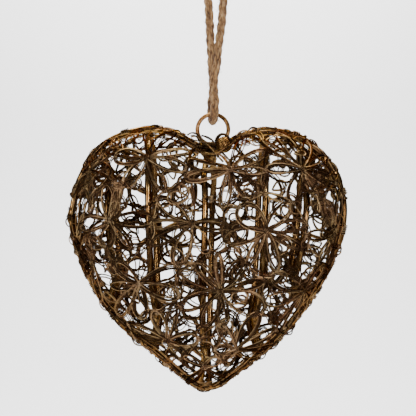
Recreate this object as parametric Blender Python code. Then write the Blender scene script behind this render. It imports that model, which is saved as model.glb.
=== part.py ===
"""A puffed heart of bronzed rod and wire, with a ring at its notch and a loop of jute rope to hang it by.

Metres, +Z up. The heart faces -Y. The origin is the top of the rope loop, where the hook goes.
The heart is laid out in its own plan, with x across from its middle and z up from its lowest point.
"""

import math

import bmesh
import bpy
import numpy as np
from mathutils import Euler, Vector

# Space left between pieces that touch
GAP = 0.0003

# The heart over its rods
HEART_WIDTH = 0.199
HEART_HEIGHT = 0.188
HEART_DEPTH = 0.070

# The form of the puffed sides: the plan's middle, and how late the side turns down to the hoop
PUFF_MIDDLE = (0.0, 0.57)
PUFF_POWER = 6.0

# The hoop's line, as shares of its own width and height, from the tip up the right side
HOOP_DIAMETER = 0.0044
HOOP_POINTS = 48
HOOP_SHAPE = (
    (-0.011, 0.000),
    (0.045, 0.018),
    (0.110, 0.068),
    (0.205, 0.146),
    (0.290, 0.232),
    (0.360, 0.325),
    (0.420, 0.425),
    (0.465, 0.530),
    (0.494, 0.640),
    (0.490, 0.750),
    (0.445, 0.862),
    (0.360, 0.953),
    (0.280, 0.986),
    (0.200, 0.994),
    (0.125, 0.973),
    (0.065, 0.940),
    (0.018, 0.919),
    (-0.040, 0.938),
    (-0.125, 0.985),
    (-0.213, 1.000),
    (-0.310, 0.978),
    (-0.400, 0.922),
    (-0.462, 0.815),
    (-0.496, 0.670),
    (-0.480, 0.560),
    (-0.435, 0.435),
    (-0.375, 0.325),
    (-0.300, 0.235),
    (-0.215, 0.158),
    (-0.125, 0.077),
    (-0.055, 0.019),
)
NOTCH = 16

# The bowed rods: where each meets the hoop at its top and its bottom, as shares of the heart's width
RIB_DIAMETER = 0.0046
RIB_POINTS = 9
RIB_END_SLOPE = math.radians(29)
FRONT_RIBS = ((-0.386, -0.350), (-0.217, -0.192), (-0.004, -0.026), (0.212, 0.178), (0.384, 0.326))
BACK_RIBS = ((-0.382, -0.344), (-0.211, -0.188), (0.020, 0.004), (0.204, 0.172), (0.378, 0.330))

# The share of the way out to the hoop over which a rod follows the net's bow
RIB_BOW_SHARE = 0.86
# Left between a rod's square end and the hoop, whose sides are flat between their corners
RIB_END_GAP = 0.0010
# How deep the net's flat facets cut inside the puffed side, in the middle and by the hoop: rods stay clear of it
NET_FACET = (0.0024, 0.0072)

# The wire flowers: each hub's place in the plan, as shares of the heart's width and height
NET_THICKNESS = 0.0018
PETAL_LENGTH = 0.034
PETAL_WIDTH = 0.0120
PETAL_TIP_WIDTH = 0.0048
# A petal no wider than this is one straight bundle
BUNDLE_WIDTH = 0.0055
PETAL_WIRE = 0.0020
PETAL_ROOT = 0.0068
HUB_RADIUS = 0.0036
# Where along its length a petal is widest, the share of its room that it fills there,
# how far its sides keep inside the edge of the flower's room, and the narrowest opening in wire widths
PETAL_FULLEST = 0.60
PETAL_CROWDING = 0.8
PETAL_INSET = 0.97
NARROWEST_OPENING = 1.4
FLOWER_GAP = 0.0006
FRONT_FLOWERS = (
    (
        -0.211,
        0.880,
        ((12, 0.004), (60, 0.008), (115, 0.006), (176, 0.009), (232, 0.007), (300, 0.007), (345, 0.009)),
    ),
    (
        0.076,
        0.834,
        (
            (27, 0.006), (70, 0.004), (130, 0.007), (165, 0.005),
            (195, 0.006), (255, 0.004), (312, 0.009), (358, 0.005),
        ),
    ),
    (
        0.325,
        0.839,
        (
            (22, 0.006), (65, 0.006), (105, 0.008), (140, 0.005),
            (183, 0.005), (250, 0.008), (300, 0.004), (347, 0.009),
        ),
    ),
    (
        -0.337,
        0.649,
        (
            (0, 0.006), (75, 0.004), (100, 0.007), (130, 0.006),
            (185, 0.008), (212, 0.005), (258, 0.008), (308, 0.005),
        ),
    ),
    (
        -0.057,
        0.637,
        (
            (55, 0.009), (103, 0.004), (140, 0.007), (182, 0.005),
            (205, 0.005), (253, 0.008), (302, 0.008), (355, 0.006),
        ),
    ),
    (
        0.199,
        0.614,
        (
            (12, 0.006), (47, 0.011), (95, 0.004), (140, 0.011),
            (195, 0.008), (240, 0.004), (285, 0.006), (333, 0.005),
        ),
    ),
    (
        -0.236,
        0.420,
        (
            (20, 0.006), (75, 0.006), (135, 0.008), (162, 0.006), (188, 0.005),
            (228, 0.007), (268, 0.007), (303, 0.005), (345, 0.008),
        ),
    ),
    (
        0.045,
        0.392,
        (
            (14, 0.005), (56, 0.006), (98, 0.005), (126, 0.004), (155, 0.007),
            (199, 0.006), (240, 0.008), (268, 0.005), (338, 0.012),
        ),
    ),
    (
        0.338,
        0.387,
        (
            (12, 0.004), (50, 0.006), (95, 0.006), (152, 0.008),
            (190, 0.006), (217, 0.006), (255, 0.005), (300, 0.006),
        ),
    ),
    (
        -0.138,
        0.206,
        ((12, 0.009), (80, 0.005), (112, 0.006), (168, 0.007), (200, 0.004), (304, 0.005), (331, 0.009)),
    ),
    (
        0.096,
        0.174,
        (
            (14, 0.007), (68, 0.008), (119, 0.005), (174, 0.008),
            (214, 0.006), (250, 0.005), (318, 0.006), (345, 0.004),
        ),
    ),
    (
        -0.419,
        0.838,
        ((35, 0.006), (75, 0.004), (140, 0.006), (215, 0.006), (285, 0.006), (330, 0.004)),
    ),
    (
        0.443,
        0.593,
        ((75, 0.006), (110, 0.005), (180, 0.006), (235, 0.005), (270, 0.006)),
    ),
    (
        -0.404,
        0.493,
        ((40, 0.006), (95, 0.006), (150, 0.005), (215, 0.005), (265, 0.006), (320, 0.006)),
    ),
    (
        -0.013,
        0.112,
        ((35, 0.005), (120, 0.008), (155, 0.004), (240, 0.004), (300, 0.004)),
    ),
)
BACK_FLOWERS = (
    (0.215, 0.850, 6),
    (-0.060, 0.815, 6),
    (-0.300, 0.800, 6),
    (0.335, 0.625, 6),
    (0.070, 0.600, 6),
    (-0.185, 0.590, 6),
    (0.240, 0.385, 6),
    (-0.035, 0.365, 6),
    (-0.310, 0.370, 6),
    (0.120, 0.175, 6),
    (-0.105, 0.150, 6),
    (0.425, 0.800, 5),
    (-0.450, 0.585, 5),
    (0.405, 0.455, 5),
)

# The ring, which leans forward from the rope so that its foot lies in front of the hoop
RING_DIAMETER = 0.0248
RING_WIRE_DIAMETER = 0.0029
RING_POINTS = 18
RING_TURN = math.radians(-3)
RING_LEAN = math.radians(7.5)

# The rope, its knot and the two cut ends
ROPE_DIAMETER = 0.0057
ROPE_ROUTE = (
    (-0.0031, 0.0000, 0.0010),
    (-0.0049, 0.0000, -0.0030),
    (-0.0060, 0.0000, -0.0090),
    (-0.0056, 0.0001, -0.0177),
    (-0.0047, 0.0004, -0.0333),
    (-0.0043, 0.0007, -0.0433),
    (-0.0040, 0.0014, -0.0496),
    (-0.0033, 0.0023, -0.0567),
    (-0.0031, 0.0029, -0.0645),
    (-0.0024, 0.0031, -0.0725),
    (-0.0021, 0.0034, -0.0808),
    (-0.0032, 0.0048, -0.0895),
    (-0.0034, 0.0056, -0.0965),
    (-0.0030, 0.0040, -0.1016),
    (-0.0023, 0.0000, -0.1034),
    (-0.0016, -0.0040, -0.1016),
    (-0.0012, -0.0056, -0.0965),
    (-0.0010, -0.0048, -0.0895),
    (-0.0017, -0.0034, -0.0808),
    (-0.0014, -0.0031, -0.0725),
    (0.0003, -0.0029, -0.0645),
    (0.0008, -0.0023, -0.0567),
    (0.0017, -0.0014, -0.0496),
    (0.0027, -0.0007, -0.0433),
    (0.0040, -0.0004, -0.0333),
    (0.0050, -0.0001, -0.0177),
    (0.0056, 0.0000, -0.0090),
    (0.0047, 0.0000, -0.0030),
    (0.0031, 0.0000, 0.0010),
)
KNOT_DIAMETER = 0.0180
KNOT_HEIGHT = 0.0165
KNOT_TURNS = 3
KNOT_GROOVE = 0.0012
KNOT_SIDES = 10
TAIL_LENGTH = 0.0130
TAIL_SPREAD = math.radians(20)

# Points along a smooth line for each of its own points, and how finely the fits are searched
SMOOTH_STEPS = 12
ROPE_STEPS = 2
BOW_STEPS = 20
REACH_STEPS = 60
RING_STEPS = 90
HALVINGS = 40


def smooth_line(points, closed=False, steps=SMOOTH_STEPS):
    """Points along the smooth curve through these, after Catmull and Rom, this many between each pair."""
    count = len(points)
    line = []
    for start in range(count if closed else count - 1):
        around = [start - 1, start, start + 1, start + 2]
        a, b, c, d = (
            Vector(points[i % count] if closed else points[min(max(i, 0), count - 1)]) for i in around
        )
        for step in range(steps):
            t = step / steps
            square = (2 * a - 5 * b + 4 * c - d) * t**2
            cube = (3 * b - a - 3 * c + d) * t**3
            line.append((2 * b + (c - a) * t + square + cube) / 2)
    if not closed:
        line.append(Vector(points[-1]))
    return line


def spaced(line, count, closed=False):
    """This many points at even distances along a line."""
    if closed:
        line = [*line, line[0]]
    lengths = [0.0]
    for a, b in zip(line, line[1:]):
        lengths.append(lengths[-1] + (b - a).length)
    places = np.linspace(0.0, lengths[-1], count + 1 if closed else count)
    if closed:
        places = places[:-1]
    columns = [np.interp(places, lengths, [point[axis] for point in line]) for axis in range(len(line[0]))]
    return [Vector(values) for values in zip(*columns)]


class HeartForm:
    """The heart's plan and the puffed surface over it."""

    def __init__(self):
        self.hoop_radius = HOOP_DIAMETER / 2
        self.width = HEART_WIDTH - HOOP_DIAMETER
        self.height = HEART_HEIGHT - HOOP_DIAMETER
        knots = [(x * self.width, z * self.height) for x, z in HOOP_SHAPE]
        self.line = smooth_line(knots, closed=True)
        self.notch = Vector(knots[NOTCH])
        self.middle = Vector((PUFF_MIDDLE[0] * self.width, PUFF_MIDDLE[1] * self.height))
        arms = [point - self.middle for point in self.line]
        order = sorted((math.atan2(arm.y, arm.x), arm.length) for arm in arms)
        self.angles = [angle for angle, _ in order]
        self.reaches = [reach for _, reach in order]
        self.edge_depth = self.hoop_radius + GAP + NET_THICKNESS / 2
        self.full_depth = HEART_DEPTH / 2 - NET_THICKNESS / 2
        self._measure_slope()

    def _measure_slope(self):
        """How far along the surface each share of the way from the middle to the hoop lies."""
        reach = sum(self.reaches) / len(self.reaches)
        self.shares = np.linspace(0.0, 1.0, 101)
        depths = np.array([self.puff(share) for share in self.shares])
        steps = np.hypot(np.diff(self.shares), np.diff(depths) / reach)
        self.flats = np.concatenate([[0.0], np.cumsum(steps)])

    def reach(self, angle):
        """From the plan's middle to the hoop's line, in this direction."""
        return float(np.interp(angle, self.angles, self.reaches, period=2 * math.pi))

    def share(self, x, z):
        """How far out from the middle a place lies: 0 there and 1 on the hoop's line."""
        arm = Vector((x, z)) - self.middle
        return arm.length / self.reach(math.atan2(arm.y, arm.x))

    def puff(self, share):
        """The middle of the net's distance from the hoop's plane."""
        return self.edge_depth + (self.full_depth - self.edge_depth) * (1 - min(share, 1.0) ** PUFF_POWER)

    def depth(self, x, z):
        """The net's distance from the hoop's plane over a place in the plan."""
        return self.puff(self.share(x, z))

    def normal(self, x, z, step=0.0005):
        """The front surface's outward direction over a place in the plan."""
        across = (self.depth(x + step, z) - self.depth(x - step, z)) / (2 * step)
        up = (self.depth(x, z + step) - self.depth(x, z - step)) / (2 * step)
        return Vector((-across, -1.0, -up)).normalized()

    def to_flat(self, x, z):
        """A place in the plan, as it lies once the puffed side is pressed flat."""
        arm = Vector((x, z)) - self.middle
        if arm.length < 1e-9:
            return self.middle.copy()
        share = self.share(x, z)
        return self.middle + arm * (float(np.interp(share, self.shares, self.flats)) / share)

    def from_flat(self, u, v):
        """The place in the plan of a place on the flattened side."""
        arm = Vector((u, v)) - self.middle
        if arm.length < 1e-9:
            return self.middle.copy()
        flat = arm.length / self.reach(math.atan2(arm.y, arm.x))
        return self.middle + arm * (float(np.interp(flat, self.flats, self.shares)) / flat)

    def crossing(self, x, upper):
        """The hoop's line over an x of the plan: its highest or its lowest z there."""
        heights = []
        for a, b in zip(self.line, [*self.line[1:], self.line[0]]):
            if (a.x - x) * (b.x - x) <= 0 and a.x != b.x:
                heights.append(a.y + (b.y - a.y) * (x - a.x) / (b.x - a.x))
        return max(heights) if upper else min(heights)


def material(name, color, roughness, metallic):
    """A plain finish."""
    made = bpy.data.materials.new(name)
    made.use_nodes = True
    shader = made.node_tree.nodes["Principled BSDF"]
    shader.inputs["Base Color"].default_value = (*color, 1.0)
    shader.inputs["Roughness"].default_value = roughness
    shader.inputs["Metallic"].default_value = metallic
    return made


def add(name, data, finish, collection, parent=None):
    """Puts a piece in the scene."""
    piece = bpy.data.objects.new(name, data)
    data.materials.append(finish)
    collection.objects.link(piece)
    piece.parent = parent
    return piece


def tube(name, points, diameter, closed=False):
    """A round rod along points, as a curve."""
    curve = bpy.data.curves.new(name, "CURVE")
    curve.dimensions = "3D"
    curve.bevel_depth = diameter / 2
    curve.bevel_resolution = 2
    curve.use_fill_caps = not closed
    spline = curve.splines.new("POLY")
    spline.points.add(len(points) - 1)
    for knot, point in zip(spline.points, points):
        knot.co = (*point, 1.0)
    spline.use_cyclic_u = closed
    spline.use_smooth = True
    return curve


def rib_start(form, corner, inward):
    """How far from the hoop's line a bowed rod's square end clears the hoop, where it leaves at a slant."""
    places = form.line
    nearest = min(range(len(places)), key=lambda i: (places[i] - corner).length)
    hoop_way = (places[(nearest + 2) % len(places)] - places[nearest - 2]).normalized()
    along_hoop = abs(inward.dot(hoop_way)) * math.cos(RIB_END_SLOPE)
    across_hoop = math.sqrt(1 - along_hoop**2)
    return (form.hoop_radius + RIB_END_GAP + RIB_DIAMETER / 2 * along_hoop) / across_hoop


def rib_points(form, top_share, bottom_share, side):
    """A bowed rod's line from the hoop's top to its bottom, just inside the front (-1) or back (1) net."""
    top = Vector((top_share * form.width, form.crossing(top_share * form.width, True)))
    bottom = Vector((bottom_share * form.width, form.crossing(bottom_share * form.width, False)))
    along = (bottom - top).normalized()
    inside = NET_THICKNESS / 2 + RIB_DIAMETER / 2
    ends = []
    for corner, inward in ((top, along), (bottom, -along)):
        start = rib_start(form, corner, inward)
        for distance in (start, start + RIB_DIAMETER):
            place = corner + inward * (distance * math.cos(RIB_END_SLOPE))
            ends.append(Vector((place.x, side * distance * math.sin(RIB_END_SLOPE), place.y)))
    bow = []
    for step in range(1, BOW_STEPS):
        place = top.lerp(bottom, step / BOW_STEPS)
        if form.share(*place) > RIB_BOW_SHARE:
            continue
        normal = form.normal(*place)
        facet = NET_FACET[0] + (NET_FACET[1] - NET_FACET[0]) * form.share(*place)
        point = Vector((place.x, -form.depth(*place), place.y)) - normal * (inside + facet)
        bow.append(Vector((place.x, -side * point.y, point.z)))
    line = smooth_line([ends[0], ends[1], *bow, ends[3], ends[2]])
    return spaced(line, RIB_POINTS)


def cell_limit(form, hub, others, angle):
    """How far a flower reaches from its hub in a direction, before its neighbour's side or the hoop."""
    way = Vector((math.cos(angle), math.sin(angle)))
    limit = PETAL_LENGTH
    for other in others:
        apart = other - hub
        toward = way.dot(apart) / apart.length
        if toward > 0:
            limit = min(limit, (apart.length - FLOWER_GAP) / 2 / toward)
    edge = form.flats[-1]
    for step in range(1, REACH_STEPS + 1):
        arm = hub + way * (PETAL_LENGTH * step / REACH_STEPS) - form.middle
        if arm.length > edge * form.reach(math.atan2(arm.y, arm.x)):
            return min(limit, PETAL_LENGTH * (step - 1) / REACH_STEPS)
    return limit


def polar(hub, angle, radius):
    """A point at this angle and distance from a hub."""
    return hub + Vector((math.cos(angle), math.sin(angle))) * radius


def even_petals(hub, others, count):
    """Petals alike all round a hub, the first of them toward the nearest neighbour."""
    nearest = min(others, key=lambda other: (other - hub).length) - hub
    first = math.atan2(nearest.y, nearest.x)
    return [(first + math.tau * petal / count, PETAL_WIDTH) for petal in range(count)]


def flower_lines(form, hub, others, petals):
    """A flower's outer line and its petals' openings, on the flattened side."""
    outer = []
    openings = []
    for petal, (axis, width) in enumerate(petals):
        before = (axis - petals[petal - 1][0]) % math.tau / 2
        after = (petals[(petal + 1) % len(petals)][0] - axis) % math.tau / 2
        length = cell_limit(form, hub, others, axis)
        fullest = PETAL_FULLEST * length
        spread = min(math.atan2(width / 2, fullest), min(before, after) * PETAL_CROWDING)
        tip_spread = math.atan2(min(PETAL_TIP_WIDTH, width) / 2, length)
        low_side, high_side = (
            min(fullest, cell_limit(form, hub, others, axis + turn) * PETAL_INSET)
            for turn in (-spread, spread)
        )
        low_tip, high_tip = (
            min(length, cell_limit(form, hub, others, axis + turn)) * PETAL_INSET
            for turn in (-tip_spread, tip_spread)
        )
        outer.append(polar(hub, axis - before, HUB_RADIUS))
        tips = [polar(hub, axis - tip_spread, low_tip), polar(hub, axis + tip_spread, high_tip)]
        if width <= BUNDLE_WIDTH:
            outer += tips
            continue
        outer += [polar(hub, axis - spread, low_side), *tips, polar(hub, axis + spread, high_side)]
        wire = PETAL_WIRE / fullest
        tip = min(low_tip, high_tip) - PETAL_WIRE
        sides = min(low_side, high_side)
        if spread > NARROWEST_OPENING * wire and PETAL_ROOT < sides - PETAL_WIRE and sides < tip:
            openings.append(
                [
                    polar(hub, axis, PETAL_ROOT),
                    polar(hub, axis - spread + wire, sides),
                    polar(hub, axis, tip),
                    polar(hub, axis + spread - wire, sides),
                ]
            )
    return outer, openings


def flower_mesh(form, name, hub, others, petals, side):
    """A flower cut flat from its outline, then laid over the puffed front (-1) or back (1)."""
    outline = bpy.data.curves.new(name, "CURVE")
    outline.dimensions = "2D"
    outline.fill_mode = "BOTH"
    outline.extrude = NET_THICKNESS / 2
    outer, openings = flower_lines(form, hub, others, petals)
    for line in (outer, *openings):
        spline = outline.splines.new("POLY")
        spline.points.add(len(line) - 1)
        for knot, point in zip(spline.points, line):
            knot.co = (point.x * -side, point.y, 0.0, 1.0)
        spline.use_cyclic_u = True
    flat = bpy.data.objects.new(name, outline)
    bpy.context.scene.collection.objects.link(flat)
    graph = bpy.context.evaluated_depsgraph_get()
    mesh = bpy.data.meshes.new_from_object(flat.evaluated_get(graph))
    bpy.data.objects.remove(flat)
    bpy.data.curves.remove(outline)
    shape = bmesh.new()
    shape.from_mesh(mesh)
    bmesh.ops.remove_doubles(shape, verts=shape.verts, dist=0.00001)
    bmesh.ops.triangulate(shape, faces=shape.faces)
    for vertex in shape.verts:
        place = form.from_flat(vertex.co.x * -side, vertex.co.y)
        normal = form.normal(*place)
        point = Vector((place.x, -form.depth(*place), place.y)) + normal * vertex.co.z
        vertex.co = (point.x, -side * point.y, point.z)
    shape.to_mesh(mesh)
    shape.free()
    mesh.shade_smooth()
    mesh.set_sharp_from_angle(angle=math.radians(40))
    return mesh


def ring_seat(form, low):
    """Where the ring hangs on the rope, and where the heart's plan has its zero so that the ring clears it."""
    wire = RING_WIRE_DIAMETER / 2
    radius = RING_DIAMETER / 2 - wire
    turned = Euler((-RING_LEAN, 0.0, RING_TURN)).to_matrix()
    top = Vector((low.x, 0.0, low.z + ROPE_DIAMETER / 2 + GAP + wire))
    centre = top - turned @ Vector((0.0, 0.0, radius))
    around = [math.tau * step / RING_STEPS for step in range(RING_STEPS)]
    ring = [
        centre + turned @ (Vector((math.cos(t), 0.0, math.sin(t))) * radius)
        for t in around
    ]
    near = [point - form.notch for point in form.line if (point - form.notch).length < RING_DIAMETER * 2]
    hoop = [Vector((low.x + point.x, 0.0, centre.z + point.y)) for point in near]
    wanted = form.hoop_radius + wire + GAP
    lowest, highest = 0.0, RING_DIAMETER * 2
    for _ in range(HALVINGS):
        drop = (lowest + highest) / 2
        nearest = min((p - q + Vector((0.0, 0.0, drop))).length for p in ring for q in hoop)
        if nearest < wanted:
            lowest = drop
        else:
            highest = drop
    zero = Vector((low.x - form.notch.x, 0.0, centre.z - highest - form.notch.y))
    return centre, zero


def knot_mesh(bottom):
    """The wound knot, turned about the rope's line, with a groove between its turns."""
    shape = bmesh.new()
    steps = KNOT_TURNS * 4
    profile = [shape.verts.new((0.0, 0.0, bottom + KNOT_HEIGHT))]
    for step in range(steps + 1):
        t = step / steps
        barrel = math.sin(math.pi * (0.25 + 0.5 * t))
        groove = KNOT_GROOVE * (1 + math.cos(math.tau * KNOT_TURNS * t)) / 2
        radius = KNOT_DIAMETER / 2 * barrel - groove
        profile.append(shape.verts.new((radius, 0.0, bottom + KNOT_HEIGHT * (1 - t))))
    profile.append(shape.verts.new((0.0, 0.0, bottom)))
    for a, b in zip(profile, profile[1:]):
        shape.edges.new((a, b))
    bmesh.ops.spin(
        shape,
        geom=[*shape.verts, *shape.edges],
        cent=(0.0, 0.0, 0.0),
        axis=(0.0, 0.0, 1.0),
        angle=math.tau,
        steps=KNOT_SIDES,
        use_merge=True,
    )
    bmesh.ops.remove_doubles(shape, verts=shape.verts, dist=0.00001)
    bmesh.ops.recalc_face_normals(shape, faces=shape.faces)
    mesh = bpy.data.meshes.new("rope_knot")
    shape.to_mesh(mesh)
    shape.free()
    mesh.shade_smooth()
    return mesh


def main():
    for thing in list(bpy.data.objects):
        bpy.data.objects.remove(thing)
    parts = bpy.data.collections.new("wire_heart_ornament")
    bpy.context.scene.collection.children.link(parts)
    rod = material("bronzed_rod", (0.16, 0.085, 0.030), 0.38, 0.9)
    wire = material("bronzed_wire", (0.10, 0.055, 0.020), 0.45, 0.9)
    ring_finish = material("copper_ring", (0.30, 0.14, 0.055), 0.35, 0.9)
    jute = material("jute", (0.42, 0.27, 0.15), 0.9, 0.0)

    form = HeartForm()
    route = smooth_line(ROPE_ROUTE)
    low = min(route, key=lambda point: point.z)
    ring_centre, zero = ring_seat(form, low)
    heart = bpy.data.objects.new("heart", None)
    heart.location = zero
    parts.objects.link(heart)

    hoop = [(point.x, 0.0, point.y) for point in spaced(form.line, HOOP_POINTS, closed=True)]
    add("heart_hoop", tube("heart_hoop", hoop, HOOP_DIAMETER, closed=True), rod, parts, heart)
    for side, word, places in ((-1, "front", FRONT_RIBS), (1, "back", BACK_RIBS)):
        for number, (top, bottom) in enumerate(places, 1):
            name = f"{word}_rib_{number}"
            bow = rib_points(form, top, bottom, side)
            add(name, tube(name, bow, RIB_DIAMETER), rod, parts, heart)
    for side, word, flowers in ((-1, "front", FRONT_FLOWERS), (1, "back", BACK_FLOWERS)):
        hubs = [form.to_flat(x * form.width, z * form.height) for x, z, _ in flowers]
        for number, (hub, (_, _, petals)) in enumerate(zip(hubs, flowers), 1):
            name = f"{word}_flower_{number:02d}"
            others = [other for other in hubs if other is not hub]
            if side < 0:
                petals = [(math.radians(axis), width) for axis, width in petals]
            else:
                petals = even_petals(hub, others, petals)
            net = flower_mesh(form, name, hub, others, petals, side)
            add(name, net, wire, parts, heart)

    ring_radius = (RING_DIAMETER - RING_WIRE_DIAMETER) / 2
    turns = [math.tau * step / RING_POINTS for step in range(RING_POINTS)]
    circle = [(math.cos(turn) * ring_radius, 0.0, math.sin(turn) * ring_radius) for turn in turns]
    band = tube("hanging_ring", circle, RING_WIRE_DIAMETER, closed=True)
    ring = add("hanging_ring", band, ring_finish, parts)
    ring.location = ring_centre
    ring.rotation_euler = (-RING_LEAN, 0.0, RING_TURN)

    rope = smooth_line(ROPE_ROUTE, steps=ROPE_STEPS)
    add("hanging_rope", tube("hanging_rope", rope, ROPE_DIAMETER), jute, parts)
    lean_in = (rope[0] - rope[1]).normalized()
    knot_bottom = rope[0].z + ROPE_DIAMETER / 2 * math.hypot(lean_in.x, lean_in.y) + GAP
    add("rope_knot", knot_mesh(knot_bottom), jute, parts)
    tail_foot = knot_bottom + KNOT_HEIGHT + ROPE_DIAMETER / 2 * math.sin(TAIL_SPREAD) + GAP
    for number, lean in enumerate((-TAIL_SPREAD, TAIL_SPREAD), 1):
        foot = Vector((math.copysign(ROPE_DIAMETER / 2 + GAP, lean), 0.0, tail_foot))
        way = Vector((math.sin(lean), 0.0, math.cos(lean)))
        ends = [foot + way * (TAIL_LENGTH * step / 2) for step in range(3)]
        add(f"rope_end_{number}", tube(f"rope_end_{number}", ends, ROPE_DIAMETER), jute, parts)


main()
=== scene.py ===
"""Dresses the wire heart ornament: bent rods, a net of wire flowers, windings, a ring and a jute rope.

Metres, +Z up. The heart faces -Y. The origin is the top of the rope loop, where the hook goes. A point of
the plan is an x and a z in the hoop's plane. A flat point is one of a puffed side, pressed flat.

Tables hold whole numbers. A place is in thousandths of the hoop's width and height, from its lowest middle,
or a point in tenths of a millimetre. A length is in tenths of a millimetre, and an angle in degrees.
"""

import logging
import math
from dataclasses import dataclass, field, replace
from enum import Enum
from typing import Sequence

import bpy
import numpy as np
from mathutils import Euler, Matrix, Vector


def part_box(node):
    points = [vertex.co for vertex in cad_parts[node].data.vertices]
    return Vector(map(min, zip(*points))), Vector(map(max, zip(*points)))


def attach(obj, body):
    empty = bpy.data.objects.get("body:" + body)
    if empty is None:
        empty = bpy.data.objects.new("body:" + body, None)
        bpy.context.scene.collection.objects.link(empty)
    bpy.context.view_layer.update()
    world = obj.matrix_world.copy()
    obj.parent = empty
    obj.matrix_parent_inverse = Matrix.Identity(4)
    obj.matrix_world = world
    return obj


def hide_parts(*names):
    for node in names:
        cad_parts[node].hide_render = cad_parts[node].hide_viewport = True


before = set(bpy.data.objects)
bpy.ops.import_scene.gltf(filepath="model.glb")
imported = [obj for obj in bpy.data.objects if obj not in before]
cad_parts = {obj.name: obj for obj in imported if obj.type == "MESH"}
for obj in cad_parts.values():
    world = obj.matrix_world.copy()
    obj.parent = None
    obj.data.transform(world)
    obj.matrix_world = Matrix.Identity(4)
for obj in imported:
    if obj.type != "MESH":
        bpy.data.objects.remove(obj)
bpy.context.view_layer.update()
LOG = logging.getLogger("wire_heart")
TAU = math.tau
# The way that the heart faces, and the scale of a finish's coordinates as they are
FORWARD = (0.0, -1.0, 0.0)
UNSTRETCHED = (1.0, 1.0, 1.0)
# How many points a winding has in each turn
TURN_STEPS = 9
# How many of the tables' units are in the hoop's width or height, and in a metre
THOUSANDTHS = 1000
TENTHS = 10000
Array = np.ndarray
Pair = tuple[float, float]
Triple = tuple[float, float, float]
Table = tuple[tuple[int, ...], ...]
Socket = bpy.types.NodeSocket
Material = bpy.types.Material
Piece = bpy.types.Object


class Side(Enum):
    """Which face of the heart a piece lies on: the value is the sign of its Y."""

    FRONT = -1
    BACK = 1

    @property
    def word(self) -> str:
        """The side's name in the nodes' names."""
        return self.name.lower()


class Lay(Enum):
    """How the strands of a bundle start round its middle line."""

    TWISTED = 1.0
    TANGLED = 0.0


# Lines in the plane and in space


def smooth_line(points: Array, closed: bool = False, steps: int = 12) -> Array:
    """Points along the smooth curve through these, after Catmull and Rom.

    Args:
        points: The curve's own points, one a row.
        closed: Whether the last point leads back to the first.
        steps: How many points come out for each of its own.

    Returns:
        The curve's points, one a row.
    """
    points = np.asarray(points, float)
    count = len(points)
    pairs = np.arange(count if closed else count - 1)
    pick = (lambda i: points[i % count]) if closed else (lambda i: points[np.clip(i, 0, count - 1)])
    a, b, c, d = (pick(pairs + step)[:, None] for step in (-1, 0, 1, 2))
    t = (np.arange(steps) / steps)[None, :, None]
    square = (2 * a - 5 * b + 4 * c - d) * t**2
    cube = (3 * b - a - 3 * c + d) * t**3
    line = ((2 * b + (c - a) * t + square + cube) / 2).reshape(-1, points.shape[1])
    return line if closed else np.vstack([line, points[-1]])


def spaced(line: Array, count: int, closed: bool = False) -> Array:
    """This many points at even distances along a line.

    Args:
        line: The line's points, one a row.
        count: How many points to give.
        closed: Whether the line leads back to its start.

    Returns:
        The evenly spaced points.
    """
    if closed:
        line = np.vstack([line, line[:1]])
    lengths = np.concatenate([[0.0], np.cumsum(np.linalg.norm(np.diff(line, axis=0), axis=1))])
    places = np.linspace(0.0, lengths[-1], count, endpoint=not closed)
    return np.column_stack([np.interp(places, lengths, column) for column in line.T])


def unit(ways: Array) -> Array:
    """The same directions with a length of one."""
    return ways / np.maximum(np.linalg.norm(ways, axis=-1, keepdims=True), 1e-12)


def heading(angle: float) -> Array:
    """The direction at this angle in a plane."""
    return np.array([math.cos(angle), math.sin(angle)])


def left_of(way: Array) -> Array:
    """The direction a quarter turn to the left of this one in a plane."""
    return np.array([-way[1], way[0]])


def tangents(points: Array, closed: bool = False) -> Array:
    """The unit direction of a line at each of its points: a closed one leads back to its start."""
    ends = (np.roll(points, -1, axis=0), np.roll(points, 1, axis=0))
    return unit(ends[0] - ends[1] if closed else np.gradient(points, axis=0))


def frames(points: Array, up: Sequence[float] = FORWARD, closed: bool = False) -> tuple[Array, Array]:
    """Two directions across a line at each point, carried along it without a turn.

    Args:
        points: The line's points.
        up: A direction to start from, not along the line.
        closed: Whether the line leads back to its start.

    Returns:
        The first and the second direction at each point.
    """
    ways = tangents(points, closed)
    first = np.empty_like(points)
    carried = np.asarray(up, float)
    for index, way in enumerate(ways):
        carried = carried - way * carried.dot(way)
        carried = carried / np.linalg.norm(carried)
        first[index] = carried
    return first, np.cross(ways, first)


@dataclass
class Guide:
    """A bundle's middle line, with what its points carry for the node tree.

    That is two directions across the line, how far the strands lie from it along each, and how many turns
    they have made round it.
    """

    points: Array
    across: Array
    out: Array
    spread: Array
    lift: Array
    lay: Array
    closed: bool = False

    CARRIED = {
        "across": "FLOAT_VECTOR", "out": "FLOAT_VECTOR", "spread": "FLOAT", "lift": "FLOAT", "lay": "FLOAT",
    }

    @classmethod
    def round(
        cls,
        points: Array,
        size: Array | float = 0.0,
        lay: Array | float = 0.0,
        up: Sequence[float] = FORWARD,
        closed: bool = False,
    ) -> "Guide":
        """A bundle with one size both ways, along a line in space.

        Args:
            points: The line's points.
            size: How far the strands lie from it, for each point or for all.
            lay: How many turns the strands have made, for each point or for all.
            up: A direction across the line to start from.
            closed: Whether the line leads back to its start.

        Returns:
            The guide.
        """
        ones = np.ones(len(points))
        return cls(points, *frames(points, up, closed), size * ones, size * ones, lay * ones, closed)


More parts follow.
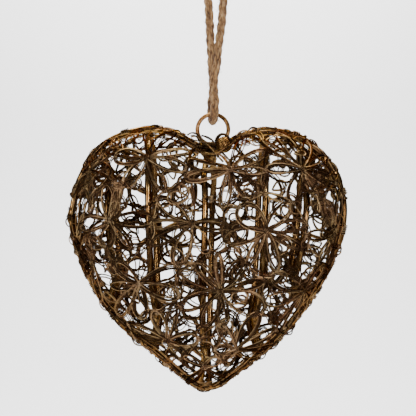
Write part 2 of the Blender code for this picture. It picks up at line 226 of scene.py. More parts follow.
@dataclass(frozen=True)
class HeartPlan:
    """The sizes of the heart, and its hoop's line as a table of places."""

    width: float = 0.199
    height: float = 0.188
    depth: float = 0.070
    hoop_diameter: float = 0.0044
    gap: float = 0.0003
    net_thickness: float = 0.0018
    middle: Pair = (0.0, 0.57)
    puff_power: float = 6.0
    shape: Table = (
        (-11, 0), (45, 18), (110, 68), (205, 146), (290, 232), (360, 325), (420, 425), (465, 530), (494, 640),
        (490, 750), (445, 862), (360, 953), (280, 986), (200, 994), (125, 973), (65, 940), (18, 919),
        (-40, 938), (-125, 985), (-213, 1000), (-310, 978), (-400, 922), (-462, 815), (-496, 670), (-480, 560),
        (-435, 435), (-375, 325), (-300, 235), (-215, 158), (-125, 77), (-55, 19),
    )


class HeartSurface:
    """The puffed front and back over the hoop, and the same surface pressed flat."""

    PROFILE_POINTS = 101
    SLOPE_STEP = 0.0005

    def __init__(self, plan: HeartPlan, hoop_box: Sequence[Sequence[float]]) -> None:
        """Measures the surface and finds where the heart hangs.

        Args:
            plan: The heart's sizes.
            hoop_box: The hoop's lowest and highest corners, in the world.
        """
        self.plan = plan
        self.span = np.array([plan.width - plan.hoop_diameter, plan.height - plan.hoop_diameter])
        self.line = smooth_line(self.at(plan.shape), closed=True)
        self.middle = np.array(plan.middle) * self.span
        arms = self.line - self.middle
        angles = np.arctan2(arms[:, 1], arms[:, 0])
        order = np.argsort(angles)
        self.angles = angles[order]
        self.reaches = np.linalg.norm(arms, axis=1)[order]
        self.edge_depth = plan.hoop_diameter / 2 + plan.gap + plan.net_thickness / 2
        self.full_depth = plan.depth / 2 - plan.net_thickness / 2
        self.shares = np.linspace(0.0, 1.0, self.PROFILE_POINTS)
        rise = np.diff(self.puff(self.shares)) / self.reaches.mean()
        self.flats = np.concatenate([[0.0], np.cumsum(np.hypot(np.diff(self.shares), rise))])
        low, high = np.array(hoop_box[0]), np.array(hoop_box[1])
        ends = (self.line.min(axis=0) + self.line.max(axis=0)) / 2
        self.zero = np.array([(low[0] + high[0]) / 2 - ends[0], (low[2] + high[2]) / 2 - ends[1]])
        self.origin = np.array([self.zero[0], 0.0, self.zero[1]])

    def at(self, places: Sequence[Sequence[int]]) -> Array:
        """The plan's points at places of a table."""
        return np.array(places) / THOUSANDTHS * self.span

    def reach(self, arms: Array) -> Array:
        """How far the hoop's line is from the plan's middle, in each arm's direction."""
        return np.interp(np.arctan2(arms[:, 1], arms[:, 0]), self.angles, self.reaches, period=TAU)

    def outness(self, points: Array) -> Array:
        """How far out points lie from the middle, as shares of the way to the hoop."""
        arms = points - self.middle
        return np.linalg.norm(arms, axis=1) / self.reach(arms)

    def puff(self, share: Array) -> Array:
        """The net's distance from the hoop's plane, by the share of the way out to the hoop."""
        fall = np.minimum(share, 1.0) ** self.plan.puff_power
        return self.edge_depth + (self.full_depth - self.edge_depth) * (1 - fall)

    def moved(self, points: Array, start: Array, end: Array) -> Array:
        """Points drawn out from the middle or in to it, as their shares go from one list to the other."""
        share = np.maximum(self.outness(points), 1e-9)
        return self.middle + (points - self.middle) * (np.interp(share, start, end) / share)[:, None]

    def to_flat(self, plan_points: Array) -> Array:
        """Points of the plan, as they lie once the puffed side is pressed flat."""
        return self.moved(plan_points, self.shares, self.flats)

    def from_flat(self, flat_points: Array) -> Array:
        """The plan's points under points of the side pressed flat."""
        return self.moved(flat_points, self.flats, self.shares)

    def foot(self, *place: int) -> Array:
        """The flat point at a place of a table."""
        return self.to_flat(self.at([place]))[0]

    def slope(self, place: Array, step: Array) -> Array:
        """How fast the net's depth grows at points of the plan, along this short step."""
        after, before = self.puff(self.outness(place + step)), self.puff(self.outness(place - step))
        return (after - before) / (2 * self.SLOPE_STEP)

    def lay_on(self, flat_points: Array, side: Side) -> tuple[Array, Array]:
        """Puts points of the flat side on the heart.

        Args:
            flat_points: Points of the side pressed flat.
            side: The front or the back.

        Returns:
            The points in the world and the outward direction at each.
        """
        place = self.from_flat(flat_points)
        slope_x = self.slope(place, np.array([self.SLOPE_STEP, 0.0]))
        slope_z = self.slope(place, np.array([0.0, self.SLOPE_STEP]))
        out = unit(np.column_stack([-slope_x, np.full(len(place), float(side.value)), -slope_z]))
        world = np.column_stack([place[:, 0], side.value * self.puff(self.outness(place)), place[:, 1]])
        return world + self.origin, out

    def bundle(self, flat: Array, side: Side, *sizes: Array, closed: bool = False) -> Guide:
        """A bundle that lies on the heart.

        Args:
            flat: Its middle line on the flat side.
            side: The front or the back.
            *sizes: How wide and how high its strands lie, and their lay.
            closed: Whether the line leads back to its start.

        Returns:
            The guide.
        """
        points, out = self.lay_on(flat, side)
        return Guide(points, unit(np.cross(tangents(points, closed), out)), out, *sizes, closed)

    def hoop_points(self, count: int) -> Array:
        """This many even points of the hoop's line, in the world."""
        even = spaced(self.line, count, closed=True) + self.zero
        return np.column_stack([even[:, 0], np.zeros(count), even[:, 1]])


# Finishes


class Nodes:
    """A node tree, with short ways to add to it."""

    def __init__(self, tree: bpy.types.NodeTree) -> None:
        """Takes the tree."""
        self.tree = tree

    def feed(self, socket: Socket, value: object) -> None:
        """Links a socket or gives it a value.

        Args:
            socket: The node's input.
            value: A socket to link, a value, or None to leave it as it is.
        """
        if isinstance(value, Socket):
            self.tree.links.new(value, socket)
        elif value is not None:
            socket.default_value = value

    def node(self, kind: str, *values: object, **named: object) -> bpy.types.Node:
        """Adds a node.

        Args:
            kind: The node's type.
            *values: What its first sockets take, in their order.
            **named: Its settings, in small letters, and what its sockets take by name, with _ for a space.

        Returns:
            The node.
        """
        node = self.tree.nodes.new(kind)
        for name, value in named.items():
            if name.islower():
                setattr(node, name, value)
        for socket, value in zip([socket for socket in node.inputs if socket.enabled], values):
            self.feed(socket, value)
        for name, value in named.items():
            if not name.islower():
                self.feed(node.inputs[name.replace("_", " ")], value)
        return node

    def math(self, operation: str, *values: object) -> Socket:
        """A sum, product or other operation on numbers or sockets."""
        return self.node("ShaderNodeMath", *values, operation=operation).outputs[0]


class Finish(Nodes):
    """A finish's node tree and the few nodes that most finishes share."""

    def __init__(self, name: str, roughness: float, metallic: float) -> None:
        """Starts a material with a principled shader.

        Args:
            name: The material's name.
            roughness: The shader's roughness where nothing drives it.
            metallic: 1 for bare metal, 0 for what isn't.
        """
        self.made = bpy.data.materials.new(name)
        self.made.use_nodes = True
        super().__init__(self.made.node_tree)
        self.shader = self.tree.nodes["Principled BSDF"]
        self.shade(Roughness=roughness, Metallic=metallic)

    def shade(self, **named: object) -> None:
        """Gives the shader's sockets a value or a link, by name with _ for a space."""
        for name, value in named.items():
            self.feed(self.shader.inputs[name.replace("_", " ")], value)

    def place(self, scale: Triple) -> Socket:
        """The surface's own coordinates, stretched."""
        coordinates = self.node("ShaderNodeTexCoord").outputs["Object"]
        return self.node("ShaderNodeMapping", Vector=coordinates, Scale=scale).outputs["Vector"]

    def noise(self, vector: Socket, scale: float, detail: float = 3.0) -> Socket:
        """A noise over these coordinates."""
        return self.node("ShaderNodeTexNoise", Vector=vector, Scale=scale, Detail=detail).outputs["Fac"]

    def tone(self, low: float, high: float) -> Socket:
        """A number that holds for a whole strand, between these two."""
        tone = self.node("ShaderNodeAttribute", attribute_name="wire_tone").outputs["Fac"]
        return self.between(tone, low, high)

    def mixed(self, *parts: tuple[Socket, float]) -> Socket:
        """The sum of two sockets, each times its own number."""
        return self.math("ADD", *(self.math("MULTIPLY", *part) for part in parts))

    def ramp(self, factor: Socket, stops: Sequence[tuple[float, Sequence[float]]]) -> Socket:
        """A run of colours.

        Args:
            factor: What picks the colour.
            stops: Each place from 0 to 1 with its colour.

        Returns:
            The colour's socket.
        """
        node = self.node("ShaderNodeValToRGB", Fac=factor)
        elements = node.color_ramp.elements
        while len(elements) < len(stops):
            elements.new(0.5)
        for element, (place, color) in zip(elements, stops):
            element.position = place
            element.color = (*color, 1.0)
        return node.outputs["Color"]

    def tinted(self, color: Socket, tint: Socket) -> Socket:
        """One colour times another."""
        node = self.node("ShaderNodeMix", 1.0, color, tint, data_type="RGBA", blend_type="MULTIPLY")
        return next(socket for socket in node.outputs if socket.enabled)

    def between(self, factor: Socket, low: float, high: float) -> Socket:
        """A number from 0 to 1 brought between two others."""
        return self.node("ShaderNodeMapRange", Value=factor, To_Min=low, To_Max=high).outputs["Result"]

    def bump(self, height: Socket, distance: float, strength: float = 1.0) -> None:
        """Gives the shader a relief of this depth."""
        node = self.node("ShaderNodeBump", Height=height, Distance=distance, Strength=strength)
        self.shade(Normal=node.outputs["Normal"])


@dataclass(frozen=True)
class BronzeFinish:
    """Antique bronze: dark in its patina, rubbed to gold where it's bare; on the wires the dark and the gold
    also stand for painted shade between strands and painted glints along them.
    """

    name: str
    # The ramp's dark stop is patina, and on the wires also painted shade; the gold stop is rubbed metal, and on
    # the wires also painted glints.
    dark: Triple = (0.040, 0.021, 0.011)
    brown: Triple = (0.084, 0.044, 0.024)
    gold: Triple = (0.35, 0.226, 0.128)
    dark_to: float = 0.30
    brown_at: float = 0.50
    gold_from: float = 0.78
    edge: Triple = (0.05, 0.028, 0.012)
    # Each strand is moved darker or golder at random as a whole: the dark strands are painted shade between
    # strands.
    tone: Pair = (-0.46, 0.32)
    patchy: float = 0.55
    grainy: float = 0.55
    tints: tuple[Triple, Triple] = ((1.0, 0.92, 0.83), (0.95, 0.99, 0.85))
    tint_stops: Pair = (0.40, 0.60)
    metallic: float = 1.0
    roughness: Pair = (0.22, 0.42)
    patch: float = 0.007
    grain_finer: float = 6.0
    tint_finer: float = 0.45
    streak: float = 1.0
    relief: float = 0.00012
    relief_strength: float = 0.6
    strands: bool = False

    def build(self) -> Material:
        """Makes the material.

        Returns:
            The material.
        """
        finish = Finish(self.name, self.roughness[1], self.metallic)
        place = finish.place((1.0, 1.0, self.streak))
        patches = finish.noise(place, 1.0 / self.patch, 4.0)
        grain = finish.noise(place, self.grain_finer / self.patch, 3.0)
        # Patches and grain are wear, and on the wires also painted glints that come and go along a strand; a
        # strand's tone adds painted shade.
        wear_shade_and_glints = finish.mixed((patches, self.patchy), (grain, self.grainy))
        wear_shade_and_glints = finish.math("SUBTRACT", wear_shade_and_glints, (self.patchy + self.grainy) / 2 - 0.5)
        if self.strands:
            wear_shade_and_glints = finish.math("ADD", wear_shade_and_glints, finish.tone(*self.tone))
        stops = ((self.dark_to, self.dark), (self.brown_at, self.brown), (self.gold_from, self.gold))
        hues = finish.noise(finish.place(UNSTRETCHED), self.tint_finer / self.patch, 2.0)
        tint = finish.ramp(hues, tuple(zip(self.tint_stops, self.tints)))
        finish.shade(
            Base_Color=finish.tinted(finish.ramp(wear_shade_and_glints, stops), tint),
            Roughness=finish.between(grain, *self.roughness),
            Specular_IOR_Level=0.0,
            Specular_Tint=(*self.edge, 1.0),
        )
        finish.bump(grain, self.relief, self.relief_strength)
        return finish.made


@dataclass(frozen=True)
class JuteFinish:
    """Natural jute: tan yarn, streaked lighter and darker along its fibres; the dark end is also painted shade
    in grooves and the light end a painted highlight on crests.
    """

    name: str
    # The ramp's stops: painted groove shade, the yarn's own tan and a painted crest highlight, laid out by
    # fibre and blotch noise, not by the rope's shape.
    groove: Triple = (0.075, 0.030, 0.009)
    tan: Triple = (0.29, 0.150, 0.058)
    crest: Triple = (0.46, 0.280, 0.130)
    stops: Triple = (0.32, 0.50, 0.68)
    fibre: float = 0.0011
    fibre_stretch: float = 0.35
    fibre_share: float = 0.6
    blotch_scale: float = 160.0
    blotch_share: float = 0.4
    tone: Pair = (-0.13, 0.13)
    roughness: float = 0.92
    sheen: Pair = (0.10, 0.6)
    relief: Pair = (0.0004, 0.8)

    def build(self) -> Material:
        """Makes the material.

        Returns:
            The material.
        """
        finish = Finish(self.name, self.roughness, 0.0)
        fibres = finish.noise(finish.place((1.0, 1.0, self.fibre_stretch)), 1.0 / self.fibre, 4.0)
        blotches = finish.noise(finish.place(UNSTRETCHED), self.blotch_scale, 2.0)
        mixed = finish.mixed((fibres, self.fibre_share), (blotches, self.blotch_share))
        stops = tuple(zip(self.stops, (self.groove, self.tan, self.crest)))
        color = finish.ramp(finish.math("ADD", mixed, finish.tone(*self.tone)), stops)
        finish.shade(Base_Color=color, Sheen_Weight=self.sheen[0], Sheen_Roughness=self.sheen[1])
        finish.bump(fibres, *self.relief)
        return finish.made


class Finishes:
    """The ornament's materials: a bronze for each kind of wire, a darker copy of the net's wire as painted
    shade, one for the rods, the ring's and the rope's.
    """

    def __init__(self) -> None:
        """Makes them all."""
        wire = BronzeFinish("bronzed_net_wire", strands=True, relief=0.00006)
        self.net = wire.build()
        # A darker copy of the net wire, painted shade: the back side's flowers, seen behind the front, and the
        # rim's loops and runners take it.
        self.net_in_painted_shade = replace(
            wire, name="bronzed_wire_painted_shade", brown=(0.066, 0.035, 0.019), gold=(0.30, 0.180, 0.086)
        ).build()
        self.winding = replace(
            wire, name="bronzed_winding", brown=(0.080, 0.043, 0.024), gold=(0.30, 0.203, 0.128), gold_from=0.70
        ).build()
        self.hoop_wire = replace(
            wire,
            name="bronzed_hoop_wire",
            dark=(0.045, 0.025, 0.015),
            brown=(0.120, 0.072, 0.048),
            gold=(0.24, 0.168, 0.112),
            gold_from=0.76,
            tone=(-0.24, 0.18),
            roughness=(0.36, 0.54),
        ).build()
        self.copper_wire = replace(
            wire,
            name="coppery_winding",
            dark=(0.035, 0.014, 0.005),
            brown=(0.20, 0.098, 0.038),
            gold=(0.40, 0.225, 0.084),
            gold_from=0.68,
        ).build()
        self.rod = BronzeFinish(
            "bronzed_rod",
            dark=(0.070, 0.035, 0.013),
            brown=(0.155, 0.080, 0.029),
            gold=(0.46, 0.285, 0.122),
            tints=((1.0, 0.94, 0.84), (1.0, 1.0, 0.90)),
            gold_from=0.72,
            patchy=0.85,
            roughness=(0.14, 0.28),
            streak=0.22,
        ).build()
        self.ring = BronzeFinish(
            "copper_ring",
            dark=(0.050, 0.020, 0.008),
            brown=(0.25, 0.120, 0.050),
            gold=(0.60, 0.33, 0.155),
            edge=(0.012, 0.006, 0.003),
            gold_from=0.68,
            roughness=(0.22, 0.36),
            patch=0.010,
            metallic=0.55,
            patchy=0.85,
        ).build()
        self.jute = JuteFinish("jute").build()


# Wires as bundles of strands along a middle line


class StrandTree(Nodes):
    """The node tree that lays strands round each middle line and gives them their thickness."""

    INPUTS = {
        "Guide": "Geometry", "Count": "Int", "Lay": "Float", "Hollow": "Float", "Wobble": "Float",
        "Wobble Size": "Float", "Radius": "Float", "Radius Spread": "Float", "Sides": "Int", "Seed": "Int",
        "Finish": "Material",
    }
    NOISE_APART = 90.0

    def __init__(self) -> None:
        """Builds the tree and keeps its inputs' identifiers."""
        super().__init__(bpy.data.node_groups.new("wire_strands", "GeometryNodeTree"))
        new = self.tree.interface.new_socket
        self.sockets = {
            name: new(name=name, in_out="INPUT", socket_type="NodeSocket" + kind).identifier
            for name, kind in self.INPUTS.items()
        }
        new(name="Wires", in_out="OUTPUT", socket_type="NodeSocketGeometry")
        self._build()

    def _vector(self, operation: str, *values: object) -> Socket:
        """An operation on vectors."""
        return self.node("ShaderNodeVectorMath", *values, operation=operation).outputs[0]

    def _scaled(self, vector: Socket, *factors: Socket) -> Socket:
        """A vector times the product of two numbers."""
        product = self.math("MULTIPLY", *factors)
        return self.node("ShaderNodeVectorMath", vector, operation="SCALE", Scale=product).outputs[0]

    def _named(self, name: str) -> Socket:
        """A value that the middle line carries on its points."""
        kind = Guide.CARRIED[name]
        return self.node("GeometryNodeInputNamedAttribute", name, data_type=kind).outputs["Attribute"]

    def _chance(self, seed: Socket, step: float) -> Socket:
        """A random number from 0 to 1 that holds for a whole strand: each step gives another.

        Args:
            seed: The seed that the tree is given.
            step: What is added to it.

        Returns:
            The number's socket.
        """
        index = self.node("GeometryNodeInputIndex").outputs[0]
        seed = self.math("ADD", seed, step)
        drawn = self.node("FunctionNodeRandomValue", 0.0, 1.0, index, seed, data_type="FLOAT").outputs[1]
        return self.node("GeometryNodeFieldOnDomain", drawn, domain="CURVE", data_type="FLOAT").outputs[0]

    def _offset(self, given: bpy.types.NodeOutputs, strand: Socket) -> Socket:
        """How far each point of a strand lies from the middle line.

        Args:
            given: The tree's inputs.
            strand: The strand's number in its bundle.

        Returns:
            The offset's socket.
        """
        seed, lay, hollow = given["Seed"], given["Lay"], given["Hollow"]
        even = self.math("MULTIPLY", self.math("DIVIDE", strand, given["Count"]), lay)
        tangled = self.math("MULTIPLY", self._chance(seed, 1.0), self.math("SUBTRACT", 1.0, lay))
        turns = self.math("ADD", self._named("lay"), self.math("ADD", even, tangled))
        angle = self.math("MULTIPLY", turns, TAU)
        fill = self.math("SQRT", self._chance(seed, 2.0))
        share = self.math("ADD", self.math("MULTIPLY", fill, self.math("SUBTRACT", 1.0, hollow)), hollow)
        parts = []
        for way, size, wave in (("across", "spread", "COSINE"), ("out", "lift", "SINE")):
            far = self.math("MULTIPLY", self._named(size), share)
            parts.append(self._scaled(self._named(way), far, self.math(wave, angle)))
        noise = self.node(
            "ShaderNodeTexNoise",
            noise_dimensions="4D",
            Vector=self.node("GeometryNodeInputPosition").outputs[0],
            W=self.math("MULTIPLY", self._chance(seed, 3.0), self.NOISE_APART),
            Scale=self.math("DIVIDE", 1.0, given["Wobble Size"]),
            Detail=1.0,
        )
        swing = self._vector("SUBTRACT", noise.outputs["Color"], (0.5, 0.5, 0.5))
        wobble = self._scaled(swing, given["Wobble"], self._named("spread"))
        return self._vector("ADD", self._vector("ADD", *parts), wobble)

    def _build(self) -> None:
        """Links the nodes from the guide to the finished wires."""
        given = self.node("NodeGroupInput").outputs
        seed, count = given["Seed"], given["Count"]
        curve = self.node("GeometryNodeMeshToCurve", given["Guide"]).outputs[0]
        copies = self.node("GeometryNodeDuplicateElements", curve, None, count, domain="SPLINE").outputs
        offset = self._offset(given, copies["Duplicate Index"])
        moved = self.node("GeometryNodeSetPosition", copies[0], None, None, offset).outputs[0]
        tone = ("wire_tone", self._chance(seed, 4.0))
        toned = self.node("GeometryNodeStoreNamedAttribute", moved, None, *tone, domain="POINT").outputs[0]
        profile = self.node("GeometryNodeCurvePrimitiveCircle", given["Sides"], given["Radius"]).outputs[0]
        even = self.math("SUBTRACT", self._chance(seed, 5.0), 0.5)
        sizes = self.math("ADD", 1.0, self.math("MULTIPLY", even, given["Radius Spread"]))
        tubes = self.node("GeometryNodeCurveToMesh", toned, profile, sizes, True).outputs[0]
        smooth = self.node("GeometryNodeSetShadeSmooth", tubes).outputs[0]
        real = self.node("GeometryNodeRealizeInstances", smooth).outputs[0]
        finished = self.node("GeometryNodeSetMaterial", real, None, given["Finish"]).outputs[0]
        self.node("NodeGroupOutput", finished)


@dataclass(frozen=True)
class Strands:
    """What a bundle is made of: each size is the node tree's input of that name."""

    count: int
    radius: float = 0.00036
    lay: Lay = Lay.TANGLED
    hollow: float = 0.0
    wobble: float = 0.0
    wobble_size: float = 0.012
    radius_spread: float = 0.25
    sides: int = 4
    seed: int = 1


def add(name: str, data: bpy.types.ID) -> Piece:
    """A new object of this data, linked to the scene.

    Args:
        name: The object's name.
        data: Its mesh, light or camera.

    Returns:
        The object.
    """
    made = bpy.data.objects.new(name, data)
    bpy.context.scene.collection.objects.link(made)
    return made


class WireWorks:
    """Turns guides into finished meshes."""

    def __init__(self) -> None:
        """Builds the node tree once for all pieces."""
        self.strand_tree = StrandTree()

    @staticmethod
    def guide_mesh(name: str, guides: Sequence[Guide]) -> bpy.types.Mesh:
        """A mesh of loose lines that carries what the node tree reads.

        Args:
            name: The mesh's name.
            guides: The middle lines.

        Returns:
            The mesh.
        """
        edges = []
        start = 0
        for guide in guides:
            count = len(guide.points)
            edges += [(start + i, start + i + 1) for i in range(count - 1)]
            if guide.closed:
                edges.append((start + count - 1, start))
            start += count
        mesh = bpy.data.meshes.new(name)
        mesh.from_pydata(np.vstack([guide.points for guide in guides]).tolist(), edges, [])
        for label, kind in Guide.CARRIED.items():
            values = np.concatenate([getattr(guide, label) for guide in guides]).astype(np.float32)
            key = "vector" if kind == "FLOAT_VECTOR" else "value"
            mesh.attributes.new(label, kind, "POINT").data.foreach_set(key, values.ravel())
        return mesh

    def wires(self, name: str, guides: Sequence[Guide], strands: Strands, finish: Material) -> Piece:
        """Strands along each guide, as one plain mesh.

        Args:
            name: The piece's name.
            guides: The bundles' middle lines.
            strands: What each bundle is made of.
            finish: The wires' material.

        Returns:
            The piece, linked to the scene.
        """
        source = add(name + "_guide", self.guide_mesh(name + "_guide", guides))
        modifier = source.modifiers.new("strands", "NODES")
        modifier.node_group = self.strand_tree.tree
        given = {**vars(strands), "lay": strands.lay.value, "finish": finish}
        for label, value in given.items():
            modifier[self.strand_tree.sockets[label.replace("_", " ").title()]] = value
        graph = bpy.context.evaluated_depsgraph_get()
        graph.update()
        mesh = bpy.data.meshes.new_from_object(source.evaluated_get(graph), depsgraph=graph)
        source.modifiers.remove(modifier)
        bpy.data.objects.remove(source)
        mesh.name = name
        for label in Guide.CARRIED:
            if label in mesh.attributes:
                mesh.attributes.remove(mesh.attributes[label])
        return add(name, mesh)


def join(name: str, pieces: Sequence[Piece]) -> Piece:
    """Makes one piece of several.

    Args:
        name: The joined piece's name.
        pieces: What is joined, the first of which stays.

    Returns:
        The joined piece.
    """
    first = pieces[0]
    chosen = {"selected_objects": pieces, "selected_editable_objects": pieces}
    with bpy.context.temp_override(active_object=first, object=first, **chosen):
        bpy.ops.object.join()
    first.name = first.data.name = name
    return first


def report(piece: Piece, slot: str, *nodes: str) -> Piece:
    """Puts a finished piece on the part and logs it.

    Args:
        piece: The piece.
        slot: Not used.
        *nodes: The CAD nodes that it stands for.

    Returns:
        The same piece.
    """
    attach(piece, "root")
    if nodes:
        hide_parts(*nodes)
    faces = sum(len(polygon.vertices) - 2 for polygon in piece.data.polygons)
    LOG.info("%s: %d triangles, for %s", piece.name, faces, ", ".join(nodes) or "itself")
    return piece


@dataclass
class Maker:
    """What every sub-assembly works with."""

    works: WireWorks
    finishes: Finishes

    def put(
        self,
        name: str,
        guides: Sequence[Guide],
        strands: Strands,
        finish: Material,
        slot: str = "net_wire",
        *nodes: str,
    ) -> Piece:
        """Makes a piece of strands along guides and puts it on the part: see WireWorks.wires and report."""
        return report(self.works.wires(name, guides, strands, finish), slot, *nodes)


# The rods


@dataclass
class RodFrame(Maker):
    """The hoop in the heart's middle plane and the rods bowed to the front and the back, with their welds.

    The tops are where each rod's two ends meet the hoop, as shares of its width. The net's facets are how far
    a rod keeps inside the net in the middle and at the hoop.
    """

    surface: HeartSurface
    diameter: float = 0.0046
    end_slope: float = math.radians(29)
    end_gap: float = 0.0010
    bow_share: float = 0.86
    bow_steps: int = 20
    rod_points: int = 44
    hoop_points: int = 220
    net_facet: Pair = (0.0024, 0.0072)
    sides: int = 16
    weld_radius: float = 0.0030
    weld_scale: Pair = (0.9, 1.15)
    weld_flatness: float = 0.42
    weld_turns: float = 0.4
    weld_strands: Strands = Strands(
        9, radius=0.0011, lay=Lay.TWISTED, hollow=0.9, wobble=0.5, wobble_size=0.004, sides=6
    )
    tops: dict[Side, tuple[Pair, ...]] = field(
        default_factory=lambda: {
            Side.FRONT: ((-0.386, -0.350), (-0.217, -0.192), (-0.004, -0.026), (0.212, 0.178), (0.384, 0.326)),
            Side.BACK: ((-0.382, -0.344), (-0.211, -0.188), (0.020, 0.004), (0.204, 0.172), (0.378, 0.330)),
        }
    )

    def crossing(self, x: float, upper: bool) -> Array:
        """Where the hoop's line crosses an x of the plan.

        Args:
            x: The place across the heart.
            upper: Whether the highest such point is meant, and not the lowest.

        Returns:
            The point of the plan.
        """
        line = self.surface.line
        after = np.roll(line, -1, axis=0)
        hit = ((line[:, 0] - x) * (after[:, 0] - x) <= 0) & (line[:, 0] != after[:, 0])
        a, b = line[hit], after[hit]
        heights = a[:, 1] + (b[:, 1] - a[:, 1]) * (x - a[:, 0]) / (b[:, 0] - a[:, 0])
        return np.array([x, float(heights.max() if upper else heights.min())])

    def plan_lines(self, side: Side) -> list[tuple[Array, Array]]:
        """The top and the bottom of each rod of a side, where it meets the hoop's line in the plan."""
        ends = [(top * self.surface.span[0], foot * self.surface.span[0]) for top, foot in self.tops[side]]
        return [(self.crossing(top, True), self.crossing(foot, False)) for top, foot in ends]

    def start(self, corner: Array, inward: Array) -> float:
        """How far from the hoop's line a rod's end clears the hoop.

        Args:
            corner: Where the rod's line meets the hoop's line, in the plan.
            inward: The rod's direction from there, in the plan.

        Returns:
            The distance along the rod.
        """
        line = self.surface.line
        nearest = int(np.argmin(np.linalg.norm(line - corner, axis=1)))
        hoop_way = unit(line[(nearest + 2) % len(line)] - line[nearest - 2])
        along = abs(float(inward @ hoop_way)) * math.cos(self.end_slope)
        clear = self.surface.plan.hoop_diameter / 2 + self.end_gap + self.diameter / 2 * along
        return clear / math.sqrt(1 - along**2)

    def bow(self, top: Array, bottom: Array, side: Side) -> Array:
        """The line of a bowed rod from the hoop's top to its bottom.

        Args:
            top: Where it meets the hoop's line at the top, in the plan.
            bottom: Where it meets it at the bottom.
            side: The front or the back.

        Returns:
            The line's points in the world.
        """
        surface = self.surface
        along = unit(bottom - top)
        ends = []
        for corner, inward in ((top, along), (bottom, -along)):
            start = self.start(corner, inward)
            for distance in (start, start + self.diameter):
                place = corner + inward * (distance * math.cos(self.end_slope))
                ends.append((place[0], side.value * distance * math.sin(self.end_slope), place[1]))
        steps = top + (bottom - top) * (np.arange(1, self.bow_steps) / self.bow_steps)[:, None]
        share = surface.outness(steps)
        steps, share = steps[share <= self.bow_share], share[share <= self.bow_share]
        inside = surface.plan.net_thickness / 2 + self.diameter / 2
        inside = inside + self.net_facet[0] + (self.net_facet[1] - self.net_facet[0]) * share[:, None]
        world, out = surface.lay_on(surface.to_flat(steps), side)
        bow = world - out * inside - surface.origin
        line = smooth_line(np.vstack([ends[0], ends[1], bow, ends[3], ends[2]]))
        return spaced(line, self.rod_points) + surface.origin

    def rod(self, name: str, points: Array, diameter: float, node: str, closed: bool = False) -> None:
        """Puts a smooth rod along a line on the part.

        Args:
            name: The piece's name.
            points: The rod's middle line.
            diameter: Its diameter.
            node: The CAD node that it stands for.
            closed: Whether it closes on itself.
        """
        guide = Guide.round(points, up=FORWARD if closed else (1.0, 0.0, 0.0), closed=closed)
        strands = Strands(1, radius=diameter / 2, radius_spread=0.0, sides=self.sides)
        self.put(name, [guide], strands, self.finishes.rod, "rod", node)

    def welds(self, ends: Sequence[tuple[Array, Array]]) -> list[Guide]:
        """The small beads that fix the rods' ends to the hoop.

        Args:
            ends: The point where each bead sits and the rod's direction there.

        Returns:
            A guide for each bead.
        """
        guides = []
        chance = np.random.default_rng(4)
        steps = np.linspace(-1.0, 1.0, 9)
        for end, toward in ends:
            reach = self.weld_radius * chance.uniform(*self.weld_scale)
            ball = np.sqrt(np.maximum(1.02 - steps**2, 0.0)) * reach * self.weld_flatness
            guides.append(Guide.round(end + toward * (steps * reach)[:, None], ball, steps * self.weld_turns))
        return guides

    def build(self) -> None:
        """Makes the hoop, the rods and the welds."""
        hoop = self.surface.hoop_points(self.hoop_points)
        self.rod("hoop_rod", hoop, self.surface.plan.hoop_diameter, "heart_hoop", closed=True)
        ends = []
        for side in self.tops:
            for number, (top, bottom) in enumerate(self.plan_lines(side), 1):
                points = self.bow(top, bottom, side)
                self.rod(f"{side.word}_bowed_rod_{number}", points, self.diameter, f"{side.word}_rib_{number}")
                ends += [(points[0], unit(points[0] - points[1])), (points[-1], unit(points[-1] - points[-2]))]
        self.put("weld_beads", self.welds(ends), self.weld_strands, self.finishes.rod, "rod")


# The net


